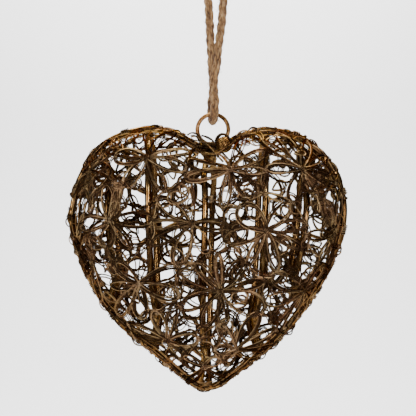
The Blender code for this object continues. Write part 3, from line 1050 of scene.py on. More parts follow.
@dataclass
class FlowerNet(Maker):
    """The wire flowers of one side, the ties, knots and loose strands between them, the leaves and the curls.

    A pair of numbers is the range that chance draws from, unless its name says otherwise.
    """

    surface: HeartSurface
    side: Side
    flowers: tuple[tuple[int, int, object], ...]
    rods: Sequence[tuple[Array, Array]] = ()
    thin: Table = ()
    knots: Table = ()
    leaves: Table = ()
    seed: int = 11
    # A petal: its size, how it starts behind its hub, and how wide and high its strands lie at root and tip
    petal_length: float = 0.034
    petal_width: float = 0.0125
    petal_bloom: float = 1.25
    petal_ends: float = 0.02
    petal_behind: float = 0.6
    petal_peak: float = 0.77
    petal_turns: Pair = (0.1, 0.5)
    petal_fullness: Pair = (0.7, 1.35)
    beside: float = 0.0008
    hub_radius: float = 0.0024
    root_spread: float = 0.0009
    tip_spread: float = 0.0017
    root_lift: float = 0.0006
    tip_lift: float = 0.0009
    # A flower: how its petals differ, the room that they leave, and which of them lie on a rod
    axis_sway: float = 0.05
    length_scale: Pair = (0.95, 1.06)
    width_scale: Pair = (0.85, 1.15)
    room_share: float = 0.67
    overlap: float = 1.1
    layer_rise: float = 0.0009
    flower_gap: float = 0.0006
    limit_steps: int = 61
    rod_clear: float = 0.0032
    strands: Strands = Strands(9, radius=0.00037, wobble=0.9, wobble_size=0.014)
    thin_strands: int = 3
    single_radius: float = 0.00046
    leaf_strands: Strands = Strands(8, radius=0.00039, wobble=0.9, wobble_size=0.010)
    # Crossing wires: how far apart the tips that they join are, how they run past them and how they sway
    crossing_reach: Pair = (0.007, 0.021)
    crossing_past: float = 0.12
    crossing_sway: Pair = (-0.28, 0.28)
    crossing_turns: Pair = (-0.3, 0.3)
    crossing_spread: float = 0.0030
    crossing_root: float = 0.35
    # Ties: the radius, the length and how far each is raised over the net, and how many turns it has
    winding_flatness: float = 0.75
    hub_tie: Triple = (0.0015, 0.0040, 0.0004)
    hub_tie_turns: float = 3.2
    hub_tie_cross: float = math.pi / 2.4
    tip_tie: Triple = (0.0014, 0.0034, 0.0)
    tip_tie_turns: Pair = (2.4, 4.0)
    tip_tie_apart: float = 0.0065
    knot_radius: float = 0.0017
    knot_raised: float = 0.0003
    knot_pitch: float = 0.0011
    # Curls: the grid that they are strewn over, their size and how far they keep from hoop and rods
    curl_step: float = 0.0105
    curl_stray: float = 0.4
    curl_length: Pair = (0.007, 0.014)
    curl_roundness: Pair = (0.6, 1.0)
    curl_edge: float = 0.9
    curl_fullness: float = 0.6
    curl_rod_clear: float = 0.0085

    def __post_init__(self) -> None:
        """Finds the hubs on the side pressed flat."""
        self.hubs = self.surface.to_flat(self.surface.at([(x, z) for x, z, _ in self.flowers]))
        self.chance = np.random.default_rng(self.seed)
        self.tips: list[tuple[Array, float]] = []
        # The back side takes the net wire's darker copy, painted shade.
        self.finish = self.finishes.net if self.side is Side.FRONT else self.finishes.net_in_painted_shade

    def limit(self, number: int, angle: float) -> float:
        """How far a flower reaches from its hub before its neighbour's side or the hoop.

        Args:
            number: The flower's place in the list.
            angle: The direction, in the flat side.

        Returns:
            The distance.
        """
        hub = self.hubs[number]
        way = heading(angle)
        apart = np.delete(self.hubs, number, axis=0) - hub
        far = np.linalg.norm(apart, axis=1)
        toward = apart @ way / far
        ahead = toward > 0
        limit = self.petal_length
        if ahead.any():
            limit = min(limit, float(((far[ahead] - self.flower_gap) / 2 / toward[ahead]).min()))
        steps = np.linspace(0.0, self.petal_length, self.limit_steps)
        shares = self.surface.outness(hub + way * steps[:, None]) / self.surface.flats[-1]
        outside = np.nonzero(shares > 1.0)[0]
        return min(limit, float(steps[outside[0] - 1])) if len(outside) else limit

    def petals(self, number: int) -> list[Pair]:
        """The directions and widths of a flower's petals.

        Args:
            number: The flower's place in the list.

        Returns:
            Each petal's direction in radians and its width.
        """
        laid = self.flowers[number][2]
        if not isinstance(laid, int):
            return [(math.radians(axis), width / TENTHS) for axis, width in laid]
        apart = self.hubs - self.hubs[number]
        far = np.linalg.norm(apart, axis=1)
        far[number] = np.inf
        toward = apart[int(np.argmin(far))]
        first = math.atan2(toward[1], toward[0])
        return [(first + TAU * petal / laid, self.petal_width) for petal in range(laid)]

    def petal(
        self,
        foot: Array,
        axis: float,
        size: Sequence[float],
        layer: float = 0.0,
        fullness: float = 1.0,
        steps: int = 27,
    ) -> Guide:
        """A petal's bundle, out from its foot, round its tip and back.

        Args:
            foot: Where it starts on the flat side, which is the hub for a flower's petal.
            axis: The petal's direction.
            size: How far its tip is from the foot and how wide it opens.
            layer: How high the bundle lies at the foot.
            fullness: How wide the strands lie, against a flower's own petal.
            steps: How many points the guide has.

        Returns:
            The bundle's guide.
        """
        length, width = size
        t = np.linspace(self.petal_ends, 1 - self.petal_ends, steps)
        full = np.sin(math.pi * t)
        start = -self.hub_radius * self.petal_behind
        along = start + (length - start) * full**2
        aside = width / 2 * np.sin(TAU * t) * full / self.petal_peak
        way = heading(axis)
        flat = foot + along[:, None] * way + aside[:, None] * left_of(way)
        run = tangents(flat)
        outward = np.column_stack([-run[:, 1], run[:, 0]])
        points, out = self.surface.lay_on(flat, self.side)
        beside, _ = self.surface.lay_on(flat + outward * self.beside, self.side)
        spread = self.root_spread + (self.tip_spread - self.root_spread) * full**0.9
        lift = self.root_lift + (self.tip_lift - self.root_lift) * full
        turns = self.chance.choice((-1, 1)) * self.chance.uniform(*self.petal_turns)
        lay = turns * t + self.chance.uniform()
        spread = spread * self.chance.uniform(*self.petal_fullness) * fullness
        raised = points + out * (layer * (1 - full) ** 2)[:, None]
        return Guide(raised, unit(beside - points), out, spread, lift, lay)

    def flower(self, number: int) -> list[Guide]:
        """All the petals of one flower.

        Args:
            number: The flower's place in the list.

        Returns:
            Their guides.
        """
        hub = self.hubs[number]
        petals = self.petals(number)
        guides = []
        for petal, (given, broad) in enumerate(petals):
            turns = (given - petals[petal - 1][0], petals[(petal + 1) % len(petals)][0] - given)
            room = min(turn % TAU for turn in turns) / 2
            axis = given + self.chance.normal(0.0, self.axis_sway)
            length = self.limit(number, axis) * self.chance.uniform(*self.length_scale)
            width = min(broad * self.petal_bloom, 2 * self.room_share * length * math.tan(room) * self.overlap)
            width *= self.chance.uniform(*self.width_scale)
            layer = self.layer_rise * self.chance.uniform(0.0, 1.0)
            guides.append(self.petal(hub, axis, (length, width), layer))
            self.tips.append((hub + length * heading(axis), axis))
        return guides

    def winding(self, flat: Array, axis: float, size: Triple, turns: float) -> Guide:
        """A few turns of wire round a bundle.

        Args:
            flat: The middle of the winding on the flat side.
            axis: The direction that it is wound along.
            size: Its radius, its length and how far over the net its middle lies.
            turns: How many turns it has.

        Returns:
            The winding's guide.
        """
        radius, length, raised = size
        t = np.linspace(-0.5, 0.5, int(TURN_STEPS * turns) + 1)
        spread = np.full(len(t), radius)
        line = flat + (t * length)[:, None] * heading(axis)
        guide = self.surface.bundle(line, self.side, spread, spread * self.winding_flatness, turns * t)
        return replace(guide, points=guide.points + guide.out * raised)

    def crossings(self) -> list[Guide]:
        """Loose strands that run on from petal to petal, across the gaps between the flowers.

        Returns:
            Their guides.
        """
        tips = np.array([tip for tip, _ in self.tips])
        t = np.linspace(-self.crossing_past, 1 + self.crossing_past, 15)
        swell = np.sin(math.pi * np.clip(t, 0, 1))
        spread = self.crossing_spread * (self.crossing_root + (1 - self.crossing_root) * swell)
        guides = []
        for number, tip in enumerate(tips):
            far = np.linalg.norm(tips - tip, axis=1)
            low, high = self.crossing_reach
            near = [other for other in np.argsort(far) if other > number and low < far[other] < high]
            for other in near[:2]:
                way = tips[other] - tip
                left = left_of(way) * self.chance.uniform(*self.crossing_sway)
                flat = tip + t[:, None] * way + swell[:, None] * left
                lay = self.chance.uniform(*self.crossing_turns) * t + self.chance.uniform()
                guides.append(self.surface.bundle(flat, self.side, spread, spread * 0.5, lay))
        return guides

    def rod_distance(self, flat_points: Array) -> float:
        """How far these points of the flat side lie from the nearest rod: the middle value of them all.

        Args:
            flat_points: The points.

        Returns:
            The distance.
        """
        plan = self.surface.from_flat(flat_points)
        gaps = []
        for top, bottom in self.rods:
            along = unit(bottom - top)
            arms = plan - top
            gaps.append(float(np.median(np.abs(arms[:, 0] * along[1] - arms[:, 1] * along[0]))))
        return min(gaps, default=math.inf)

    def curled(self) -> list[Guide]:
        """Small round loops of single wires that lie every way over the petals and between the rods.

        Returns:
            Their guides.
        """
        width, height = self.surface.span
        guides = []
        for z in np.arange(0.5 * self.curl_step, height, self.curl_step):
            for x in np.arange(-width / 2, width / 2, self.curl_step):
                stray = self.chance.uniform(-self.curl_stray, self.curl_stray, (1, 2))
                place = np.array([[x, z]]) + stray * self.curl_step
                axis = self.chance.uniform(0.0, TAU)
                length = self.chance.uniform(*self.curl_length)
                broad = length * self.chance.uniform(*self.curl_roundness)
                if self.surface.outness(place)[0] > self.curl_edge:
                    continue
                foot = self.surface.to_flat(place)[0]
                if self.rod_distance((foot + 0.5 * length * heading(axis))[None]) < self.curl_rod_clear:
                    continue
                guides.append(self.petal(foot, axis, (length, broad), fullness=self.curl_fullness, steps=17))
        return guides

    def ties(self) -> list[Guide]:
        """The windings at the hubs and where petals of neighbours meet, and the knots seen in the photo.

        Returns:
            Their guides.
        """
        guides = []
        for hub in self.hubs:
            axis = self.chance.uniform(0, math.pi)
            for turn in (0.0, self.hub_tie_cross):
                guides.append(self.winding(hub, axis + turn, self.hub_tie, self.hub_tie_turns))
        taken: list[Array] = []
        for tip, axis in self.tips:
            if all(np.linalg.norm(tip - other) >= self.tip_tie_apart for other in taken):
                taken.append(tip)
                turns = self.chance.uniform(*self.tip_tie_turns)
                guides.append(self.winding(tip, axis + math.pi / 2, self.tip_tie, turns))
        for x, z, axis, length in self.knots:
            size = (self.knot_radius, length / TENTHS, self.knot_raised)
            turns = size[1] / self.knot_pitch
            guides.append(self.winding(self.surface.foot(x, z), math.radians(axis), size, turns))
        return guides

    def parts(self, number: int) -> list[tuple[Strands, list[Guide]]]:
        """One flower's petals, sorted by what they are made of: full, thin, or a single wire on a rod.

        Args:
            number: The flower's place in the list.

        Returns:
            The strands and the guides of each kind that the flower has.
        """
        petals = self.flower(number)
        laid: tuple[list[Guide], ...] = ([], [], [])
        for place, (petal, (tip, _)) in enumerate(zip(petals, self.tips[-len(petals):]), 1):
            line = self.hubs[number] + (tip - self.hubs[number]) * np.linspace(0.25, 1.0, 8)[:, None]
            on_rod = self.rod_distance(line) < self.rod_clear
            laid[2 if on_rod else int((number + 1, place) in self.thin)].append(petal)
        fine = replace(self.strands, count=self.thin_strands, radius=self.single_radius)
        kinds = enumerate((self.strands, fine, replace(fine, count=1)))
        seed = self.seed * 100 + number
        return [(replace(kind, seed=seed + 50 * step), laid[step]) for step, kind in kinds if laid[step]]

    def build(self) -> None:
        """Makes each flower, then the crossing wires, the ties, the leaves and the curls."""
        word = self.side.word
        for number in range(len(self.flowers)):
            node = f"{word}_flower_{number + 1:02d}"
            name = node + "_petals"
            parts = [self.works.wires(name, guides, kind, self.finish) for kind, guides in self.parts(number)]
            report(join(name, parts) if len(parts) > 1 else parts[0], "net_wire", node)
        loose = Strands(3, radius=self.single_radius, wobble=1.2, wobble_size=0.010, seed=self.seed + 60)
        self.put(f"{word}_crossing_wires", self.crossings(), loose, self.finish)
        tied = Strands(2, radius=0.00032, hollow=0.85, wobble=0.6, wobble_size=0.003, seed=self.seed + 40)
        self.put(f"{word}_ties", self.ties(), tied, self.finishes.winding)
        if self.leaves:
            leaves = [
                self.petal(self.surface.foot(x, z), math.radians(axis), np.array(size) / TENTHS)
                for x, z, axis, *size in self.leaves
            ]
            self.put(f"{word}_side_leaves", leaves, self.leaf_strands, self.finish)
        curls = Strands(3, radius=0.00040, wobble=1.0, wobble_size=0.008, seed=self.seed + 80)
        self.put(f"{word}_curls", self.curled(), curls, self.finish)


@dataclass
class RimNet(Maker):
    """The loops that fasten one side's net to the hoop, the tufts beside them and the strands that run round.

    A pair of numbers is the range that chance draws from.
    """

    surface: HeartSurface
    side: Side
    seed: int = 31
    loops: int = 34
    loop_sway: float = 0.35
    loop_length: Pair = (0.010, 0.020)
    loop_width: float = 0.0066
    loop_width_scale: Pair = (0.7, 1.15)
    loop_strands: Strands = Strands(4, radius=0.00039, wobble=0.7, wobble_size=0.012)
    tufts: int = 72
    tuft_from: Pair = (0.28, 0.25)
    tuft_place: Pair = (0.74, 0.93)
    tuft_length: Pair = (0.008, 0.014)
    tuft_width: Pair = (0.004, 0.008)
    tuft_fullness: float = 0.7
    tuft_strands: Strands = Strands(5, radius=0.00039, wobble=0.9, wobble_size=0.010)
    runner_shares: Pair = (0.975, 0.90)
    runner_points: int = 150
    runner_sway: Pair = (0.004, 0.011)
    runner_waves: tuple[int, ...] = (5, 9, 14)
    runner_size: Pair = (0.0013, 0.0006)
    runner_size_waves: int = 7
    runner_flatness: float = 0.7

    def net(self, seed: int) -> FlowerNet:
        """A net with a single flower that is never made: it lends its petals, with their own chance."""
        return FlowerNet(self.works, self.finishes, self.surface, self.side, ((0, 500, 6),), seed=seed)

    def tufted(self) -> list[Guide]:
        """Small loops that lie every way between the flowers and the hoop, at the heart's two sides.

        Returns:
            Their guides.
        """
        chance = np.random.default_rng(self.seed + 9)
        net = self.net(self.seed + 1)
        from_middle, from_foot = np.array(self.tuft_from) * self.surface.span
        guides = []
        for place in spaced(self.surface.line, self.tufts, closed=True):
            share = chance.uniform(*self.tuft_place)
            axis = chance.uniform(0.0, TAU)
            size = (chance.uniform(*self.tuft_length), chance.uniform(*self.tuft_width))
            if abs(place[0]) < from_middle or place[1] < from_foot:
                continue
            inner = self.surface.middle + (place - self.surface.middle) * share
            foot = self.surface.to_flat(inner[None])[0]
            guides.append(net.petal(foot, axis, size, fullness=self.tuft_fullness, steps=19))
        return guides

    def fasteners(self) -> list[Guide]:
        """Loops from the hoop in over the edge of the net.

        Returns:
            Their guides.
        """
        chance = np.random.default_rng(self.seed)
        net = self.net(self.seed)
        even = spaced(self.surface.line, self.loops, closed=True)
        guides = []
        for place, way in zip(even, tangents(even, closed=True)):
            inward = left_of(way)
            axis = math.atan2(inward[1], inward[0]) + chance.normal(0.0, self.loop_sway)
            length = chance.uniform(*self.loop_length)
            width = self.loop_width * chance.uniform(*self.loop_width_scale)
            guides.append(net.petal(self.surface.to_flat(place[None])[0], axis, (length, width)))
        return guides

    def runners(self) -> list[Guide]:
        """Strands that run round the heart beside the hoop.

        Returns:
            Their guides.
        """
        chance = np.random.default_rng(self.seed + 5)
        arms = spaced(self.surface.line, self.runner_points, closed=True) - self.surface.middle
        t = np.arange(self.runner_points) / self.runner_points
        width, wave = self.runner_size
        size = width + wave * np.sin(TAU * self.runner_size_waves * t)
        guides = []
        for share in self.runner_shares:
            sway = sum(
                chance.uniform(*self.runner_sway) * np.sin(TAU * (waves * t + chance.uniform()))
                for waves in self.runner_waves
            )
            flat = self.surface.middle + arms * (self.surface.flats[-1] * (share + sway))[:, None]
            sizes = (size, size * self.runner_flatness, int(chance.integers(7, 12)) * t)
            guides.append(self.surface.bundle(flat, self.side, *sizes, closed=True))
        return guides

    def build(self) -> None:
        """Makes the loops, the tufts and the runners of this side."""
        word = self.side.word
        # The rim's loops and runners take the net wire's darker copy, painted shade.
        self.put(f"{word}_rim_loops", self.fasteners(), self.loop_strands, self.finishes.net_in_painted_shade)
        self.put(f"{word}_side_loops", self.tufted(), self.tuft_strands, self.finishes.net)
        strands = Strands(3, radius=0.00038, wobble=1.2, wobble_size=0.010, seed=self.seed + 6)
        self.put(f"{word}_rim_runners", self.runners(), strands, self.finishes.net_in_painted_shade)


@dataclass
class HoopWinding(Maker):
    """The wire laid along and wound round the hoop, its knots, and the loops that stand proud of it.

    A size is a multiple of the reach, which is how far the wire along the hoop lies from its middle line. The
    bare places have no winding within a length, and the knots are places.
    """

    surface: HeartSurface
    reach: float = 0.0024
    line_points: int = 2000
    along_points: int = 420
    along_turns: int = 9
    along_waves: tuple[Pair, Pair] = ((0.07, 13), (0.05, 29))
    windings: int = 110
    winding_half: Pair = (3, 9)
    winding_turns: Pair = (2.0, 4.5)
    winding_size: Pair = (1.04, 1.32)
    bare: Table = (
        (470, 802, 70), (490, 676, 60), (-353, 955, 80), (-465, 826, 70), (292, 975, 50), (-235, 990, 50),
    )
    knots: Table = (
        (-350, 269), (-255, 176), (-138, 60), (262, 192), (-495, 663), (-508, 748), (-480, 524), (490, 755),
    )
    knot_half: Pair = (6, 11)
    knot_turns: Pair = (3.0, 5.0)
    knot_size: Pair = (1.35, 1.6)
    knot_taper: float = 0.35
    proud_loops: int = 44
    proud_span: Pair = (10, 34)
    proud_points: int = 13
    proud_tilt: Pair = (-1.3, 1.3)
    proud_foot: float = 0.9
    proud_rise: Pair = (0.0006, 0.0026)
    proud_bundle: float = 0.0004
    seed: int = 71

    def __post_init__(self) -> None:
        """Takes the hoop's line at close points."""
        self.line = self.surface.hoop_points(self.line_points)

    def apart(self, place: Sequence[int], points: Array) -> Array:
        """How far points of the world lie from a place of a table."""
        x, z = self.surface.at(place) + self.surface.zero
        return np.linalg.norm(points - np.array([x, 0.0, z]), axis=-1)

    def stretch(self, middle: int, half: int, turns: float) -> Array:
        """A stretch of the hoop's line, with enough points for a winding.

        Args:
            middle: Where on the line it has its middle, as a point's number.
            half: How many of the line's points it reaches each way.
            turns: How many turns will be wound round it.

        Returns:
            The stretch's points.
        """
        places = np.arange(-self.line_points, 2 * self.line_points)
        picks = np.linspace(middle - half, middle + half, int(turns * TURN_STEPS) + 1)
        return np.column_stack([np.interp(picks, places, np.tile(column, 3)) for column in self.line.T])

    def along(self) -> list[Guide]:
        """The strands that run along the hoop.

        Returns:
            Their guides.
        """
        t = np.arange(self.along_points) / self.along_points
        first, second = (share * np.sin(TAU * waves * t) for share, waves in self.along_waves)
        size = self.reach * (1 + first + second)
        points = self.surface.hoop_points(self.along_points)
        return [Guide.round(points, size, self.along_turns * t, closed=True)]

    def wound(self) -> list[Guide]:
        """Short windings spread round the hoop, but not where it is bare.

        Returns:
            Their guides.
        """
        chance = np.random.default_rng(self.seed)
        count = self.line_points
        guides = []
        for number in range(self.windings):
            middle = int((number + chance.uniform(-1.0, 1.0)) / self.windings * count)
            half = int(chance.uniform(*self.winding_half))
            turns = chance.uniform(*self.winding_turns)
            start = self.line[middle % count]
            if any(self.apart(place, start) < reach / TENTHS for *place, reach in self.bare):
                continue
            points = self.stretch(middle, half, turns)
            size = self.reach * chance.uniform(*self.winding_size)
            guides.append(Guide.round(points, size, np.linspace(0, turns, len(points))))
        return guides

    def knotted(self) -> list[Guide]:
        """The lumps on the hoop where the net's wires are made fast.

        Returns:
            Their guides.
        """
        chance = np.random.default_rng(self.seed + 8)
        guides = []
        for place in self.knots:
            middle = int(np.argmin(self.apart(place, self.line)))
            half = int(chance.uniform(*self.knot_half))
            turns = chance.uniform(*self.knot_turns)
            points = self.stretch(middle, half, turns)
            taper = 1 - self.knot_taper * np.linspace(-1.0, 1.0, len(points)) ** 2
            size = self.reach * chance.uniform(*self.knot_size) * taper
            guides.append(Guide.round(points, size, np.linspace(0, turns, len(points))))
        return guides

    def proud(self) -> list[Guide]:
        """Loops of wire that spring out from the hoop.

        Returns:
            Their guides.
        """
        chance = np.random.default_rng(self.seed + 1)
        ways = tangents(self.line, closed=True)
        t = np.linspace(0.0, 1.0, self.proud_points)
        guides = []
        for _ in range(self.proud_loops):
            start = int(chance.integers(self.line_points))
            span = int(chance.uniform(*self.proud_span))
            picks = (start + (t * span).astype(int)) % self.line_points
            outward = np.column_stack([ways[picks, 2], np.zeros(self.proud_points), -ways[picks, 0]])
            tilt = chance.uniform(*self.proud_tilt)
            rise = self.reach * self.proud_foot + chance.uniform(*self.proud_rise) * np.sin(math.pi * t) ** 0.8
            away = outward * math.cos(tilt) + np.array([0.0, 1.0, 0.0]) * math.sin(tilt)
            guides.append(Guide.round(self.line[picks] + away * rise[:, None], self.proud_bundle, t * 0.5))
        return guides

    def build(self) -> None:
        """Makes the wire along the hoop, the windings, the knots and the proud loops."""
        seed, finishes = self.seed, self.finishes
        strands = Strands(3, radius=0.00036, hollow=0.92, wobble=0.22, wobble_size=0.012, seed=seed)
        self.put("hoop_strands", self.along(), strands, finishes.hoop_wire)
        strands = Strands(2, radius=0.00034, hollow=0.92, wobble=0.25, wobble_size=0.004, seed=seed + 2)
        self.put("hoop_windings", self.wound(), strands, finishes.winding)
        strands = Strands(3, radius=0.00040, hollow=0.75, wobble=0.6, wobble_size=0.004, seed=seed + 4)
        self.put("hoop_knots", self.knotted(), strands, finishes.winding)
        strands = Strands(2, radius=0.00040, wobble=1.0, wobble_size=0.005, seed=seed + 3)
        self.put("hoop_loops", self.proud(), strands, finishes.net)


# What it hangs by


@dataclass
class HangingRing(Maker):
    """The plain ring that leans over the notch, with the wires that lash it to the hoop."""

    diameter: float = 0.0248
    wire_diameter: float = 0.0029
    ring_points: int = 72
    sides: int = 16
    turn: float = math.radians(-3)
    lean: float = math.radians(7.5)
    lump_place: Triple = (0.0053, -0.0082, -0.1210)
    lump_radius: float = 0.0052
    lump_ways: tuple[Triple, ...] = ((0.5, 0.1, -0.85), (0.9, 0.2, 0.45), (0.25, -0.2, 1.0))
    lump_turns: float = 4.5
    lump_strands: Strands = Strands(4, radius=0.00045, hollow=0.88, wobble=0.22, wobble_size=0.004, seed=9)
    lashed: tuple[Triple, ...] = ((-0.0100, -0.0012, -0.1222), (0.0015, -0.0012, -0.1226))
    lashed_reach: Pair = (0.0038, 0.0036)
    lashed_turns: float = 6.5
    lashed_strands: Strands = Strands(3, radius=0.00036, hollow=0.88, wobble=0.2, wobble_size=0.005, seed=13)
    loose_size: float = 0.0005
    loose_strands: Strands = Strands(3, radius=0.00043, hollow=0.5, wobble=0.7, wobble_size=0.006, seed=14)
    loose: tuple[Table, ...] = (
        ((-3, -50, -1190), (5, -62, -1169), (21, -67, -1150), (40, -67, -1139), (62, -67, -1141),
         (80, -62, -1157), (95, -50, -1181), (102, -40, -1212)),
        ((-8, -45, -1184), (0, -55, -1163), (16, -60, -1144), (38, -60, -1133), (62, -60, -1135),
         (82, -55, -1151), (100, -45, -1177), (107, -35, -1210)),
        ((-104, -35, -1140), (-65, -38, -1154), (-37, -42, -1170), (-16, -45, -1186)),
        ((-204, -30, -1139), (-184, -40, -1129), (-160, -48, -1126), (-134, -52, -1134), (-114, -52, -1153),
         (-103, -50, -1182)),
        ((-179, -35, -1148), (-145, -50, -1147), (-125, -50, -1165), (-110, -45, -1190)),
        ((-142, -40, -1203), (-93, -52, -1191), (-51, -55, -1188), (-16, -55, -1193), (19, -60, -1214)),
        ((-128, -45, -1226), (-79, -58, -1219), (-37, -60, -1217), (5, -62, -1228), (40, -70, -1249)),
        ((-79, -50, -1200), (-44, -90, -1232), (-18, -130, -1262), (11, -165, -1295), (45, -195, -1335)),
        ((1, -60, -1222), (30, -100, -1255), (60, -145, -1290), (88, -180, -1325), (120, -205, -1365)),
    )

    def ring(self) -> Guide:
        """The ring's middle line, in the box of its CAD node.

        Returns:
            Its guide.
        """
        low, high = (np.array(corner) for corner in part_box("hanging_ring"))
        angle = TAU * np.arange(self.ring_points) / self.ring_points
        circle = np.column_stack([np.cos(angle), np.zeros(self.ring_points), np.sin(angle)])
        circle = circle * ((self.diameter - self.wire_diameter) / 2)
        turned = np.array(Euler((-self.lean, 0.0, self.turn)).to_matrix())
        return Guide.round((low + high) / 2 + circle @ turned.T, closed=True)

    def lump(self) -> list[Guide]:
        """The lump of wound wire beside the ring.

        Returns:
            Their guides.
        """
        chance = np.random.default_rng(9)
        t = np.linspace(-1.0, 1.0, 90)
        barrel = self.lump_radius * np.sqrt(np.maximum(1.08 - t**2, 0.0))
        guides = []
        for way in self.lump_ways:
            points = np.array(self.lump_place) + unit(np.array(way)) * (t * self.lump_radius)[:, None]
            guides.append(Guide.round(points, barrel, self.lump_turns * t + chance.uniform()))
        return guides

    def lashing(self) -> Guide:
        """The windings round the ring's foot and the hoop.

        Returns:
            Their guide.
        """
        t = np.linspace(0.0, 1.0, 64)
        swell = 0.8 + 0.2 * np.sin(math.pi * t)
        depth, height = self.lashed_reach
        guide = Guide.round(spaced(np.array(self.lashed), 64), depth * swell, self.lashed_turns * t)
        return replace(guide, lift=height * swell)

    def loose_wires(self) -> list[Guide]:
        """The wires that spring over the notch and run down from the lashing.

        Returns:
            Their guides.
        """
        guides = []
        for route in self.loose:
            points = smooth_line(np.array(route) / TENTHS, steps=6)
            lay = np.linspace(0.0, 0.7, len(points))
            guides.append(Guide.round(points, self.loose_size, lay, (0.0, -1.0, 0.1)))
        return guides

    def build(self) -> None:
        """Makes the ring and what lashes it."""
        wire = Strands(1, radius=self.wire_diameter / 2, radius_spread=0.0, sides=self.sides)
        self.put("ring_wire", [self.ring()], wire, self.finishes.ring, "ring", "hanging_ring")
        self.put("ring_lump", self.lump(), self.lump_strands, self.finishes.copper_wire)
        self.put("ring_lashing", [self.lashing()], self.lashed_strands, self.finishes.copper_wire)
        self.put("ring_loose_wires", self.loose_wires(), self.loose_strands, self.finishes.net)


